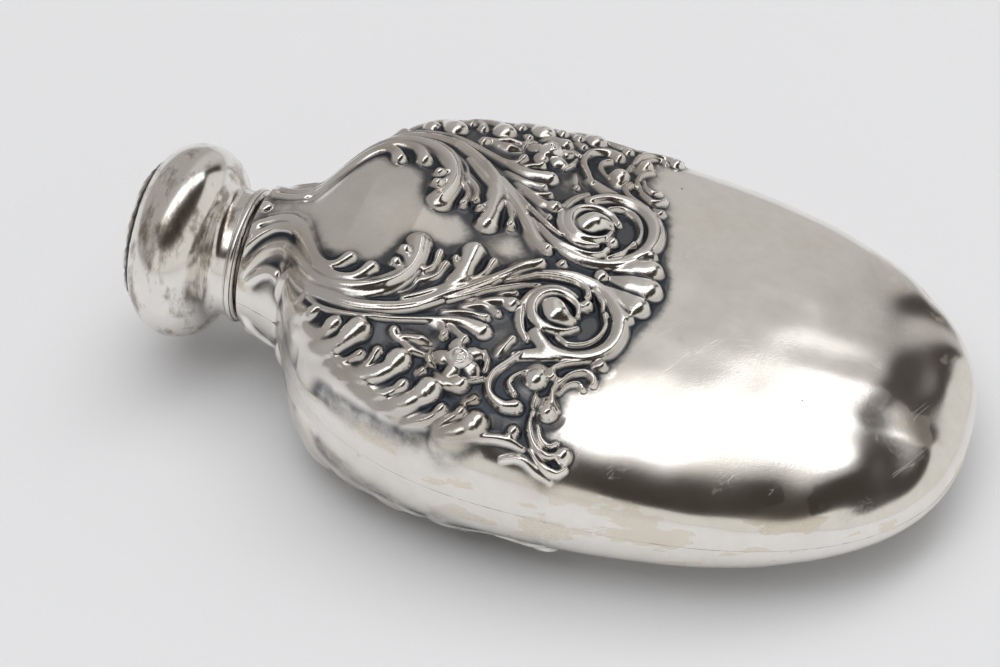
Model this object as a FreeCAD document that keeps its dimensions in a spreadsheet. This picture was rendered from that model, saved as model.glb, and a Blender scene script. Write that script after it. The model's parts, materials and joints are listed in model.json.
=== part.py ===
"""Antique silver hip flask: two die-struck half shells soldered edge to edge, with a screw cap.

The pieces are drawn in the flask's own axes: +X runs from the mouth to the base along the neck's axis,
+Z is the front face's normal, and X = 0 is the mouth plane, where the half shells end.
The finished flask lies on its back. lay_down() turns every piece by the lying tilt and lifts it, so that in
the delivered frame Z = 0 is the surface it lies on and the origin is the middle of its footprint box.
Lengths are millimetres, angles are degrees.
"""
import FreeCAD, Part
import math
import os
import Sketcher

App = FreeCAD
Vector = App.Vector

# ---------------------------------------------------------------- driving dimensions
SIZES = [
    ("body_length", 119.0, "mouth plane to base tip"),
    ("body_width", 79.6, "widest place of the plan"),
    ("body_thickness", 34.0, "front to back at the thickest place"),
    ("widest_station", 53.7, "from the mouth plane"),
    ("thickest_station", 17.6, "from the mouth plane"),
    ("shoulder_start", 7.1, "where the shoulders would close, from the mouth plane"),
    ("base_roundness", 2.4, "exponent of the base end's curve"),
    ("shoulder_roundness", 2.3, "exponent of the shoulders' curve"),
    ("section_roundness", 3.2, "exponent of the cross section's curve"),
    ("thickness_taper", 0.33, "share of the thickness lost towards the base"),
    ("neck_flare", 2.3, "how much the neck widens up to the shoulders"),
    ("flare_power", 1.2, "exponent of the neck's widening"),
    ("neck_blend", 6.0, "sharpness of the hollow between neck and shoulder"),
    ("sheet_wall", 0.8, "silver sheet of the body"),
    ("solder_film", 0.12, "solder between the two halves"),
    ("lying_tilt", 4.7, "angle of the neck's axis when the flask lies on its back"),
    ("relief_height", 1.4, "how far the embossing stands out of the back"),
    ("boss_radius", 3.2, "flat spot on a high point of the embossing"),
    ("boss_spread", 1.6, "how much wider a high point is at its foot"),
    ("boss_bite", 0.4, "how deep a high point runs into the sheet"),
    ("volute_station_share", 0.4454, "high points of the volutes: station over the body's length"),
    ("volute_offset_share", 0.2814, "the same points: distance from the middle over half the width"),
    ("leaf_station_share", 0.2269, "high points of the leaves: station over the body's length"),
    ("leaf_offset_share", 0.3141, "the same points: distance from the middle over half the width"),
    ("bore_radius", 7.0, "pouring bore of the neck tube"),
    ("tube_wall", 1.1, "neck tube under the thread"),
    ("tube_reach", 7.0, "neck tube beyond the mouth plane"),
    ("tube_tail", 6.0, "neck tube inside the neck"),
    ("flange_length", 3.0, "shoulder of the tube that is soldered into the neck"),
    ("thread_pitch", 3.0, "advance in one turn"),
    ("thread_depth", 0.75, "height of a thread ridge"),
    ("thread_crest_width", 1.1, "ridge at its top"),
    ("thread_flank_gap", 0.05, "what each ridge leaves free beside the other's top"),
    ("thread_start", 1.4, "first ridge of the tube, from the mouth plane"),
    ("thread_runout", 0.15, "plain stretch past the end of a ridge"),
    ("thread_clearance", 0.35, "radial room between the two threads"),
    ("sleeve_wall", 0.55, "threaded sleeve under its ridge"),
    ("fit_gap", 0.05, "solder room between pieces that are fitted"),
    ("cap_wall", 0.7, "silver sheet of the cap"),
    ("ring_width", 0.75, "how far the rim ring stands out of the skirt"),
    ("ring_length", 2.0, "rim ring along the axis"),
    ("neck_step", 0.1, "neck set in from the rim ring"),
    ("cap_gap", 0.7, "rim ring to mouth plane with the cap screwed down"),
    ("bulb_station", 12.2, "middle of the cap's bulb, from the mouth plane"),
    ("bulb_ring_radius", 9.4, "middle of the bulb's round, from the axis"),
    ("bulb_round", 6.9, "radius of the bulb's round"),
    ("cap_fillet", 2.0, "concave round between the skirt and the bulb"),
    ("crown_radius", 12.2, "opening for the embossed disc"),
    ("crown_rise", 1.9, "dome of the embossed disc"),
    ("cork_thickness", 3.2, "sealing cork"),
    ("cork_gap", 0.15, "cork to the tube's lip"),
    ("cork_clearance", 0.1, "cork inside the sleeve"),
    ("plate_thickness", 0.7, "disc behind the cork"),
]

# Relations between the pieces, outwards from the pouring bore, as spreadsheet expressions.
ROOT = "(Sizes.bore_radius + Sizes.tube_wall)"
CREST = f"({ROOT} + Sizes.thread_depth)"
RIDGE_FOOT = "(Sizes.thread_pitch - Sizes.thread_crest_width - 2 * Sizes.thread_flank_gap)"
RIDGE_ROOM = f"(Sizes.tube_reach - Sizes.thread_start - {RIDGE_FOOT} / 2 - Sizes.thread_runout)"
TUBE_TURNS = f"({RIDGE_ROOM} / Sizes.thread_pitch)"
SLEEVE_TURNS = f"(({RIDGE_ROOM} - Sizes.cork_gap) / Sizes.thread_pitch - 0.5)"
SLEEVE_CREST = f"({ROOT} + Sizes.thread_clearance)"
SLEEVE_ROOT = f"({CREST} + Sizes.thread_clearance)"
SLEEVE_OUT = f"({SLEEVE_ROOT} + Sizes.sleeve_wall)"
SKIRT_IN = f"({SLEEVE_OUT} + Sizes.fit_gap)"
SKIRT_OUT = f"({SKIRT_IN} + Sizes.cap_wall)"
RING_IN = f"({SKIRT_OUT} + Sizes.fit_gap)"
RING_OUT = f"({RING_IN} + Sizes.ring_width)"
NECK_OUT = f"({RING_OUT} - Sizes.neck_step)"
FLANGE_OUT = f"({NECK_OUT} - Sizes.sheet_wall - Sizes.fit_gap)"
CORK_FACE = "(-(Sizes.tube_reach + Sizes.cork_gap))"
CORK_BACK = f"({CORK_FACE} - Sizes.cork_thickness)"
CORK_OUT = f"({SLEEVE_CREST} + Sizes.cork_clearance)"
CORK_SEAT = f"({CORK_OUT} + Sizes.cork_clearance)"
SEAT_START = "(-(Sizes.tube_reach - Sizes.cork_gap))"
BULB_X = "(-Sizes.bulb_station)"
BULB_IN = "(Sizes.bulb_round - Sizes.cap_wall)"
CROWN_OUT = "(Sizes.crown_radius - Sizes.fit_gap)"
DOME_ROUND = f"(({CROWN_OUT} ^ 2 + Sizes.crown_rise ^ 2) / (2 * Sizes.crown_rise))"

GRID_ALONG = 72
GRID_AROUND = 36
STATION_START = 0.3
DIFFERENCE = 1e-4

doc = App.newDocument("HipFlask")
sheet = doc.addObject("Spreadsheet::Sheet", "Sizes")


def fill_sheet():
    """Writes each driving dimension into a cell of its own, with its alias and what it is."""
    for row, (alias, value, words) in enumerate(SIZES, start=1):
        sheet.set(f"A{row}", words)
        sheet.set(f"B{row}", str(value))
        sheet.setAlias(f"B{row}", alias)
    doc.recompute()


def size(alias):
    """The value of a driving dimension."""
    return float(sheet.get(alias))


def value(expression):
    """The number that a relation between driving dimensions comes to."""
    return float(sheet.evalExpression(expression))


# ---------------------------------------------------------------- sketched and turned pieces
def origin_feature(body, role):
    """A plane or axis of the body's own origin."""
    return next(f for f in body.Origin.OriginFeatures if f.Role == role)


def sketch_in(body, name):
    """A sketch on the body's XY plane: its X is the flask's axis and its Y is the radius."""
    sketch = body.newObject("Sketcher::SketchObject", name)
    sketch.AttachmentSupport = (origin_feature(body, "XY_Plane"), "")
    sketch.MapMode = "FlatFace"
    return sketch


def draw_outline(sketch, corners):
    """Draws a closed outline. A corner is (x, radius) in expressions, and a third entry (centre x, centre
    radius, round, +1 or -1) makes the side to the next corner an arc that turns that way about its centre."""
    points = [Vector(value(c[0]), value(c[1]), 0) for c in corners]
    count = len(corners)
    for i, corner in enumerate(corners):
        start, end = points[i], points[(i + 1) % count]
        if len(corner) == 2:
            sketch.addGeometry(Part.LineSegment(start, end))
            continue
        cx, cr, rounding, turn = corner[2]
        middle = Vector(value(cx), value(cr), 0)
        circle = Part.Circle(middle, Vector(0, 0, 1), value(rounding))
        a = math.atan2(start.y - middle.y, start.x - middle.x)
        b = math.atan2(end.y - middle.y, end.x - middle.x)
        sketch.addGeometry(Part.ArcOfCircle(circle, a, b) if turn > 0 else Part.ArcOfCircle(circle, b, a))

    def ends(i):
        reverse = len(corners[i]) == 3 and corners[i][2][3] < 0
        return (2, 1) if reverse else (1, 2)

    for i in range(count):
        j = (i + 1) % count
        sketch.addConstraint(Sketcher.Constraint("Coincident", i, ends(i)[1], j, ends(j)[0]))
    for i, corner in enumerate(corners):
        for kind, expression in (("DistanceX", corner[0]), ("DistanceY", corner[1])):
            here = value(expression)
            index = sketch.addConstraint(Sketcher.Constraint(kind, -1, 1, i, ends(i)[0], here))
            sketch.setExpression(f"Constraints[{index}]", expression)
        if len(corner) == 3:
            index = sketch.addConstraint(Sketcher.Constraint("Radius", i, value(corner[2][2])))
            sketch.setExpression(f"Constraints[{index}]", corner[2][2])


def new_body(label):
    """An empty PartDesign body."""
    body = doc.addObject("PartDesign::Body", label)
    body.Label = label
    return body


def turned(label, corners):
    """A body turned about the flask's axis from a closed outline."""
    body = new_body(label)
    sketch = sketch_in(body, f"{label}_profile")
    draw_outline(sketch, corners)
    doc.recompute()
    turning = body.newObject("PartDesign::Revolution", f"{label}_turning")
    turning.Profile = sketch
    turning.ReferenceAxis = (sketch, ["H_Axis"])
    turning.Angle = 360.0
    sketch.Visibility = False
    doc.recompute()
    return body


def add_ridge(body, start, turns, foot, top):
    """Adds a right-hand ridge that runs from x = start towards the cap's crown. Foot and top are radii."""
    sketch = sketch_in(body, f"{body.Label}_ridge_profile")
    half_foot = f"{RIDGE_FOOT} / 2"
    half_top = "Sizes.thread_crest_width / 2"
    draw_outline(
        sketch,
        [
            (f"{start} + {half_foot}", foot),
            (f"{start} + {half_top}", top),
            (f"{start} - {half_top}", top),
            (f"{start} - {half_foot}", foot),
        ],
    )
    doc.recompute()
    ridge = body.newObject("PartDesign::AdditiveHelix", f"{body.Label}_ridge")
    ridge.Profile = sketch
    ridge.ReferenceAxis = (sketch, ["H_Axis"])
    ridge.Mode = 1
    ridge.setExpression("Pitch", "Sizes.thread_pitch")
    ridge.setExpression("Turns", turns)
    ridge.Reversed = True
    ridge.LeftHanded = False
    sketch.Visibility = False
    doc.recompute()


def make_neck_tube():
    """Tube with the pouring bore: a flange soldered into the neck and a threaded spout beyond it."""
    tail, lip, flange = "Sizes.tube_tail", "(-Sizes.tube_reach)", "Sizes.flange_length"
    body = turned(
        "neck_thread_tube",
        [
            (tail, "Sizes.bore_radius"),
            (tail, ROOT),
            (flange, ROOT),
            (flange, FLANGE_OUT),
            ("0", FLANGE_OUT),
            ("0", ROOT),
            (lip, ROOT),
            (lip, "Sizes.bore_radius"),
        ],
    )
    add_ridge(body, "(-Sizes.thread_start)", TUBE_TURNS, f"{ROOT} - Sizes.tube_wall / 4", CREST)


def make_cap_sleeve():
    """Threaded sleeve inside the cap's skirt, with a plain seat for the cork behind the thread."""
    rim = "(-Sizes.cap_gap)"
    body = turned(
        "cap_thread_sleeve",
        [
            (rim, SLEEVE_ROOT),
            (rim, SLEEVE_OUT),
            (CORK_BACK, SLEEVE_OUT),
            (CORK_BACK, CORK_SEAT),
            (SEAT_START, CORK_SEAT),
            (SEAT_START, SLEEVE_ROOT),
        ],
    )
    start = "(-(Sizes.thread_start + Sizes.thread_pitch / 2))"
    add_ridge(body, start, SLEEVE_TURNS, f"{SLEEVE_ROOT} + Sizes.sleeve_wall / 4", SLEEVE_CREST)


def make_cap_shell():
    """Spun cap: a straight skirt, a fillet and a round bulb with an opening in its crown."""
    rim = "(-Sizes.cap_gap)"
    crown = "Sizes.crown_radius"

    def on_round(radius, round_, side):
        reach = f"sqrt({round_} ^ 2 - ({radius} - Sizes.bulb_ring_radius) ^ 2)"
        return f"({BULB_X} {side} {reach})"

    outer, inner = "Sizes.bulb_round", BULB_IN
    centre = (BULB_X, "Sizes.bulb_ring_radius")
    fillet = "Sizes.cap_fillet"
    fillet_level = f"({SKIRT_OUT} + {fillet})"
    over = f"({fillet_level} - Sizes.bulb_ring_radius)"
    along = f"sqrt(({outer} + {fillet}) ^ 2 - {over} ^ 2)"
    share = f"{outer} / ({outer} + {fillet})"
    fillet_x = f"({BULB_X} + {along})"
    turned(
        "cap_shell",
        [
            (rim, SKIRT_OUT),
            (fillet_x, SKIRT_OUT, (fillet_x, fillet_level, fillet, -1)),
            (
                f"({BULB_X} + {along} * {share})",
                f"(Sizes.bulb_ring_radius + {over} * {share})",
                (*centre, outer, +1),
            ),
            (on_round(crown, outer, "-"), crown),
            (on_round(crown, inner, "-"), crown, (*centre, inner, -1)),
            (on_round(SKIRT_IN, inner, "+"), SKIRT_IN),
            (rim, SKIRT_IN),
        ],
    )


def make_cap_top_disc():
    """Shallow domed disc that closes the crown."""
    reach = "sqrt(Sizes.bulb_round ^ 2 - (Sizes.crown_radius - Sizes.bulb_ring_radius) ^ 2)"
    edge = f"({BULB_X} - {reach})"
    edge_in = f"({edge} + Sizes.cap_wall)"
    apex = f"({edge} - Sizes.crown_rise)"
    outer_centre = (f"({apex} + {DOME_ROUND})", "0")
    inner_centre = (f"({apex} + Sizes.cap_wall + {DOME_ROUND})", "0")
    turned(
        "cap_top_disc",
        [
            (edge, CROWN_OUT, (*outer_centre, DOME_ROUND, +1)),
            (apex, "0"),
            (f"({apex} + Sizes.cap_wall)", "0", (*inner_centre, DOME_ROUND, -1)),
            (edge_in, CROWN_OUT),
        ],
    )


def make_cap_rim_ring():
    """Half-round ring soldered round the skirt's open end."""
    near = "(-Sizes.cap_gap)"
    far = f"({near} - Sizes.ring_length)"
    middle = f"(({near} + {far}) / 2)"
    half = "(Sizes.ring_length / 2)"
    rounding = f"(({half} ^ 2 + Sizes.ring_width ^ 2) / (2 * Sizes.ring_width))"
    centre = (middle, f"({RING_OUT} - {rounding})")
    turned("cap_rim_ring", [(near, RING_IN, (*centre, rounding, +1)), (far, RING_IN)])


def make_cap_cork():
    """Cork disc that seals on the tube's lip."""
    turned("cap_cork", [(CORK_FACE, "0"), (CORK_FACE, CORK_OUT), (CORK_BACK, CORK_OUT), (CORK_BACK, "0")])


def make_cap_cork_plate():
    """Silver disc that closes the sleeve behind the cork."""
    back = f"({CORK_BACK} - Sizes.plate_thickness)"
    turned("cap_cork_plate", [(CORK_BACK, "0"), (CORK_BACK, SLEEVE_OUT), (back, SLEEVE_OUT), (back, "0")])


# ---------------------------------------------------------------- half shells
class BodyForm:
    """The outer form of the front half: half widths from rounded end curves, and rounded cross sections."""

    def __init__(self):
        self.length = size("body_length")
        self.half_width = size("body_width") / 2
        self.half_thickness = size("body_thickness") / 2
        self.neck = value(NECK_OUT)
        self.shoulder = size("shoulder_start")
        self.wall = size("sheet_wall")
        self.seam = size("solder_film") / 2

    def end_curve(self, x, middle):
        """1 at the middle station, falling to 0 at the base tip and where the shoulders would close."""
        if x >= middle:
            share, power = (x - middle) / (self.length - middle), size("base_roundness")
        else:
            share, power = (middle - x) / (middle - self.shoulder), size("shoulder_roundness")
        return max(0.0, 1 - min(share, 1.0) ** power) ** (1 / power)

    def with_neck(self, x, reach):
        """Joins a body half size to the neck's radius through a soft hollow."""
        widest = size("widest_station")
        flare = size("neck_flare") * min(x / self.shoulder, 1.0) ** size("flare_power")
        fade = 1 - min(max((x - widest / 2) / (widest / 2), 0.0), 1.0)
        blend = size("neck_blend")
        return (reach**blend + ((self.neck + flare) * fade) ** blend) ** (1 / blend)

    def half_sizes(self, x):
        """Half width and half thickness at a station."""
        thick = size("thickest_station")
        taper = 1 - size("thickness_taper") * min(max((x - thick) / (self.length - thick), 0.0), 1.0)
        width = self.half_width * self.end_curve(x, size("widest_station"))
        depth = self.half_thickness * self.end_curve(x, thick) * taper
        return self.with_neck(x, width), self.with_neck(x, depth)

    def power(self, x):
        """The cross section's exponent: round at the neck, squarer over the body."""
        step = min(max((x - self.shoulder) / (2 * self.shoulder), 0.0), 1.0)
        return 2 + (size("section_roundness") - 2) * step * step * (3 - 2 * step)

    def station(self, along):
        """x at a share of the way from mouth to tip, closer together at the neck and the tip."""
        eased = along * (STATION_START + (1 - STATION_START) * along)
        return self.length * (1 - (1 - eased) ** size("base_roundness"))

    def point(self, along, angle):
        """A point of the front half: angle 0 and pi are the seam, pi / 2 is the middle of the front."""
        x = self.station(along)
        width, depth = self.half_sizes(x)
        power = self.power(x)
        c, s = math.cos(angle), math.sin(angle)
        scale = (abs(c) ** power + abs(s) ** power) ** (-1 / power)
        return Vector(x, width * c * scale, depth * s * scale)

    def normal(self, along, angle):
        """Unit normal, outwards, from differences. It stays in the mouth plane and in the seam plane."""
        if along >= 1:
            return Vector(1, 0, 0)
        step = min(DIFFERENCE, 1 - along)
        back = min(DIFFERENCE, along)
        across = self.point(along + step, angle) - self.point(along - back, angle)
        around = self.point(along, angle + DIFFERENCE) - self.point(along, angle - DIFFERENCE)
        out = around.cross(across)
        if along == 0:
            out.x = 0
        if angle in (0.0, math.pi):
            out.z = 0
        return out.normalize()

    def grid(self, inset):
        """Points of the form, moved inwards by inset, as rows from mouth to tip."""
        rows = []
        for i in range(GRID_ALONG + 1):
            along = i / GRID_ALONG
            row = []
            for k in range(GRID_AROUND + 1):
                angle = math.pi * k / GRID_AROUND
                point = self.point(along, angle) - self.normal(along, angle) * inset
                if i == GRID_ALONG:
                    point = Vector(self.length - inset, 0, 0)
                if k in (0, GRID_AROUND):
                    point.z = 0
                row.append(point)
            rows.append(row)
        return rows


def form_surface(form, inset):
    """A smooth surface through the form's points, closed to one point at the tip, lifted by half the solder."""
    surface = Part.BSplineSurface()
    surface.interpolate(form.grid(inset))
    tip = Vector(form.length - inset, 0, 0)
    for k in range(surface.NbVPoles):
        surface.setPole(surface.NbUPoles, k + 1, tip)
    surface.translate(Vector(0, 0, form.seam))
    return surface


def flat_face(edges):
    """The flat face inside a loop of edges."""
    return Part.Face(Part.Wire(Part.__sortEdges__(edges)))


def facing_out(solid):
    """The same solid with its faces pointing outwards."""
    if solid.Volume < 0:
        solid.reverse()
    return solid


def half_shell(form):
    """Closed half shell of the front: outer face, inner face, seam face and mouth face, sewn."""
    outer = form_surface(form, 0.0)
    inner = form_surface(form, form.wall)

    def sides(surface):
        u0, u1, v0, v1 = surface.bounds()
        return [surface.vIso(v0).toShape(), surface.vIso(v1).toShape(), surface.uIso(u0).toShape()]

    left, right, mouth = sides(outer)
    left_in, right_in, mouth_in = sides(inner)
    start = [Part.LineSegment(a.valueAt(a.FirstParameter), b.valueAt(b.FirstParameter)).toShape()
             for a, b in ((left, left_in), (right, right_in))]
    seam_face = flat_face([left, right, right_in, left_in, *start])
    mouth_face = flat_face([mouth, mouth_in, *start])
    faces = [outer.toShape(), inner.toShape(), seam_face, mouth_face]
    shell = Part.makeShell(faces)
    shell.sewShape()
    return facing_out(Part.makeSolid(Part.Shell(shell.Faces))), seam_face


def feature(label, shape):
    """A document object that holds a shape made with Part's own functions."""
    made = doc.addObject("Part::Feature", label)
    made.Label = label
    made.Shape = shape
    return made


def make_shells():
    """Both halves and the solder between them. The back half starts as the front one mirrored."""
    form = BodyForm()
    solid, seam_face = half_shell(form)
    feature("front_shell", solid)
    feature("back_half", solid.mirror(Vector(0, 0, 0), Vector(0, 0, 1)))
    feature("seam_solder", facing_out(seam_face.extrude(Vector(0, 0, -2 * form.seam))))


def lying_rotation():
    """Turns the flask about Y, so that the base end goes down onto the surface."""
    return App.Rotation(Vector(0, 1, 0), size("lying_tilt"))


def floor_level():
    """Height, in the turned flask, of the surface that the back's high points touch."""
    turned_back = doc.getObject("back_half").Shape.copy()
    turned_back.Placement = App.Placement(Vector(), lying_rotation())
    return turned_back.optimalBoundingBox(False, False).ZMin - size("relief_height")


def highest_below(shape, lying, over):
    """Height at which a plumb line through a place first meets the turned back's outside."""
    turned_shape = shape.copy()
    turned_shape.Placement = lying
    box = turned_shape.BoundBox
    low, high = Vector(over.x, over.y, box.ZMin - 1), Vector(over.x, over.y, box.ZMax)
    return turned_shape.common(Part.LineSegment(low, high).toShape()).BoundBox.ZMin


def make_back_shell():
    """Back half with the four high points of its embossing that the flask lies on, flat where they touch."""
    level = floor_level()
    back = doc.getObject("back_half")
    lying = App.Placement(Vector(), lying_rotation())
    places = [(name, side) for name in ("volute", "leaf") for side in (-1, 1)]
    bosses = []
    for number, (name, side) in enumerate(places, start=1):
        station = size("body_length") * size(f"{name}_station_share")
        offset = side * size("body_width") / 2 * size(f"{name}_offset_share")
        over = lying.multVec(Vector(station, offset, -size("body_thickness")))
        boss = doc.addObject("Part::Cone", f"high_point_{number}")
        boss.setExpression("Radius1", "Sizes.boss_radius")
        boss.setExpression("Radius2", "Sizes.boss_radius + Sizes.boss_spread")
        boss.Height = highest_below(back.Shape, lying, over) + size("boss_bite") - level
        on_surface = App.Placement(Vector(over.x, over.y, level), App.Rotation())
        boss.Placement = lying.inverse().multiply(on_surface)
        bosses.append(boss)
    fused = doc.addObject("Part::MultiFuse", "back_shell")
    fused.Label = "back_shell"
    fused.Shapes = [back, *bosses]
    doc.recompute()


# ---------------------------------------------------------------- assembly
PIECES = [
    "front_shell",
    "back_shell",
    "seam_solder",
    "neck_thread_tube",
    "cap_shell",
    "cap_top_disc",
    "cap_rim_ring",
    "cap_thread_sleeve",
    "cap_cork",
    "cap_cork_plate",
]


def piece(label):
    """The document object with that label."""
    return doc.getObjectsByLabel(label)[0]


def lay_down():
    """Gives every piece its place: turned by the lying tilt, its box centred, the surface at Z = 0."""
    turn = lying_rotation()
    whole = Part.makeCompound([piece(name).Shape for name in PIECES])
    whole.Placement = App.Placement(Vector(), turn)
    box = whole.optimalBoundingBox(False, False)
    shift = Vector(-(box.XMin + box.XMax) / 2, 0, -floor_level())
    place = App.Placement(shift, turn)
    for name in PIECES:
        piece(name).Placement = place
    doc.recompute()
    return place


def check():
    """Stops the build if an object failed or a piece has no sound solid."""
    for thing in doc.Objects:
        if {"Invalid", "Error"} & set(thing.State):
            raise RuntimeError(f"{thing.Label} failed: {thing.State}")
    for name in PIECES:
        shape = piece(name).Shape
        if shape.isNull() or not shape.isValid() or not shape.Solids or shape.Volume <= 0:
            raise RuntimeError(f"{name} has no valid solid: {shape}")


def main():
    """Builds the flask and writes one STEP file for each piece."""
    fill_sheet()
    make_shells()
    make_back_shell()
    make_neck_tube()
    make_cap_shell()
    make_cap_top_disc()
    make_cap_rim_ring()
    make_cap_sleeve()
    make_cap_cork()
    make_cap_cork_plate()
    place = lay_down()
    check()
    os.makedirs("parts", exist_ok=True)
    for name in PIECES:
        shape = piece(name).Shape
        shape.exportStep(os.path.join("parts", f"{name}.step"))
        print(f"{name}: {shape.Volume:.1f} mm3 in {len(shape.Solids)} solid")
    print("middle of the mouth:", place.multVec(Vector()))
    print("way out of the mouth:", place.Rotation.multVec(Vector(-1, 0, 0)))


main()
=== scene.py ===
"""Looks of an embossed silver hip flask that lies on its back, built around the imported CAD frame.

The flask is worked out in its own axes, in millimetres: x runs from the mouth plane to the base along the
neck's axis, y across, and z out of the front face. Resting turns that into the frame's metres. The
embossing is one height map over the plan of a half, drawn with strokes, mirrored about the middle and struck
into both halves.
"""
import json
import logging
import math
from dataclasses import dataclass, field
from enum import Enum

import bpy
import numpy as np
from mathutils import Matrix, Vector


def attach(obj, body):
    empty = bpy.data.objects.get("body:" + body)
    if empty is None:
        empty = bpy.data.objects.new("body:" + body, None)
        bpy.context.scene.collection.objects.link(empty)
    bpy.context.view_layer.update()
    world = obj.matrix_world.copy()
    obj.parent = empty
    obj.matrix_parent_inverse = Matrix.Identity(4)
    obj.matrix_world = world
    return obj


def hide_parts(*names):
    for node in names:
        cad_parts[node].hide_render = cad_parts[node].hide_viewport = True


LOG = logging.getLogger("hip_flask")
MM = 0.001
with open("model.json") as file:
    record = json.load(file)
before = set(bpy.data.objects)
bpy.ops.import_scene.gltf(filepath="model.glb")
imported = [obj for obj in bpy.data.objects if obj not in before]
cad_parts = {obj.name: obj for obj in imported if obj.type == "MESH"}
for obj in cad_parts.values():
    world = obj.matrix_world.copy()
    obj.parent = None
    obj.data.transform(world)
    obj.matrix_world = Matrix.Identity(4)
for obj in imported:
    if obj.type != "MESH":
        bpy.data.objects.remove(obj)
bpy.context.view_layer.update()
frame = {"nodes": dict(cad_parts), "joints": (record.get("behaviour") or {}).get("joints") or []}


# ---------------------------------------------------------------- numbers and meshes
def smoothstep(low: float, high: float, value: np.ndarray) -> np.ndarray:
    """0 below low, 1 above high, and the cubic 3t^2 - 2t^3 between them."""
    t = np.clip((value - low) / (high - low), 0.0, 1.0)
    return t * t * (3 - 2 * t)


def unit(vectors: np.ndarray) -> np.ndarray:
    """Each vector of the last axis divided by its length."""
    return vectors / np.maximum(np.linalg.norm(vectors, axis=-1, keepdims=True), 1e-12)


def curve_through(points: np.ndarray, per_span: int) -> np.ndarray:
    """A Catmull-Rom curve: cubic spans through the points, with slopes of half the neighbours' difference.

    Args:
        points: the points, one a row.
        per_span: samples in each span.

    Returns:
        The samples, one a row, with the last point.
    """
    ends = np.vstack([2 * points[0] - points[1], points, 2 * points[-1] - points[-2]])
    t = np.linspace(0, 1, per_span, endpoint=False)[None, :, None]
    a, b, c, d = (ends[i : len(points) - 1 + i, None, :] for i in range(4))
    spans = b + 0.5 * t * (c - a + t * (2 * a - 5 * b + 4 * c - d + t * (3 * (b - c) + d - a)))
    return np.vstack([spans.reshape(-1, points.shape[1]), points[-1:]])


def grid_normals(points: np.ndarray) -> np.ndarray:
    """Unit normals of a grid of points, from the cross product of its two slopes."""
    return unit(np.cross(np.gradient(points, axis=1), np.gradient(points, axis=0)))


@dataclass
class Patch:
    """Vertices, faces, face corner normals and vertex values that are gathered into one mesh."""

    name: str
    points: list[np.ndarray] = field(default_factory=list)
    faces: list[np.ndarray] = field(default_factory=list)
    normals: list[np.ndarray] = field(default_factory=list)
    values: dict[str, list[np.ndarray]] = field(default_factory=dict)
    count: int = 0

    def add(self, points: np.ndarray, **values: np.ndarray | float) -> np.ndarray:
        """Adds a grid of vertices and returns the grid of their numbers."""
        index = self.count + np.arange(points[..., 0].size).reshape(points.shape[:-1])
        self.points.append(points.reshape(-1, 3))
        for key, value in values.items():
            self.values.setdefault(key, []).append(np.broadcast_to(value, points.shape[:-1]).ravel())
        self.count += index.size
        return index

    def keep(self, quads: np.ndarray, normals: np.ndarray, flip: bool) -> None:
        """Keeps faces and their corner normals, turned over if asked."""
        order = slice(None, None, -1) if flip else slice(None)
        self.faces.append(quads[:, order])
        self.normals.append(normals[:, order])

    def quads(self, index: np.ndarray, normals: np.ndarray, flip: bool = False) -> None:
        """Joins a grid of vertex numbers with quads. A row of one repeated number becomes a fan of triangles.

        Args:
            index: the grid of vertex numbers.
            normals: the normal at each place of the grid.
            flip: whether the faces look the other way.
        """
        corners = [(slice(None, -1), slice(None, -1)), (slice(1, None), slice(None, -1)),
                   (slice(1, None), slice(1, None)), (slice(None, -1), slice(1, None))]
        self.keep(np.stack([index[c] for c in corners], -1).reshape(-1, 4),
                  np.stack([normals[c] for c in corners], -2).reshape(-1, 4, 3), flip)

    def strip(self, fine: np.ndarray, coarse: np.ndarray, normal: np.ndarray, flip: bool = False) -> None:
        """Closes the gap between a fine row of vertices and a coarse one that has every n-th place."""
        ratio = (len(fine) - 1) // (len(coarse) - 1)
        i = np.arange(len(fine) - 1)
        near = coarse[(i + ratio // 2) // ratio]
        after = coarse[(i + 1 + ratio // 2) // ratio]
        quads = np.stack([fine[i], fine[i + 1], after, near], -1)
        self.keep(quads, np.broadcast_to(normal, (*quads.shape, 3)), flip)

    def build(self) -> bpy.types.Object:
        """Makes the object, in the frame's metres, at the origin, with its normals and vertex values."""
        points = np.concatenate(self.points)
        quads = np.concatenate(self.faces)
        normals = np.concatenate(self.normals)
        keep = quads != np.roll(quads, -1, axis=1)
        size = keep.sum(1)
        sound = size >= 3
        keep, size, quads, normals = keep[sound], size[sound], quads[sound], normals[sound]
        mesh = bpy.data.meshes.new(self.name)
        mesh.vertices.add(len(points))
        mesh.vertices.foreach_set("co", points.astype(np.float32).ravel())
        mesh.loops.add(int(size.sum()))
        mesh.loops.foreach_set("vertex_index", quads[keep].astype(np.int32))
        mesh.polygons.add(len(size))
        mesh.polygons.foreach_set("loop_start", np.concatenate([[0], np.cumsum(size)[:-1]]).astype(np.int32))
        mesh.update(calc_edges=True)
        if mesh.validate():
            raise ValueError(f"the mesh of {self.name} has faulty faces")
        for key, value in self.values.items():
            layer = mesh.attributes.new(key, "FLOAT", "POINT")
            layer.data.foreach_set("value", np.concatenate(value).astype(np.float32))
        mesh.normals_split_custom_set(normals[keep])
        made = bpy.data.objects.new(self.name, mesh)
        bpy.context.scene.collection.objects.link(made)
        return made


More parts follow.
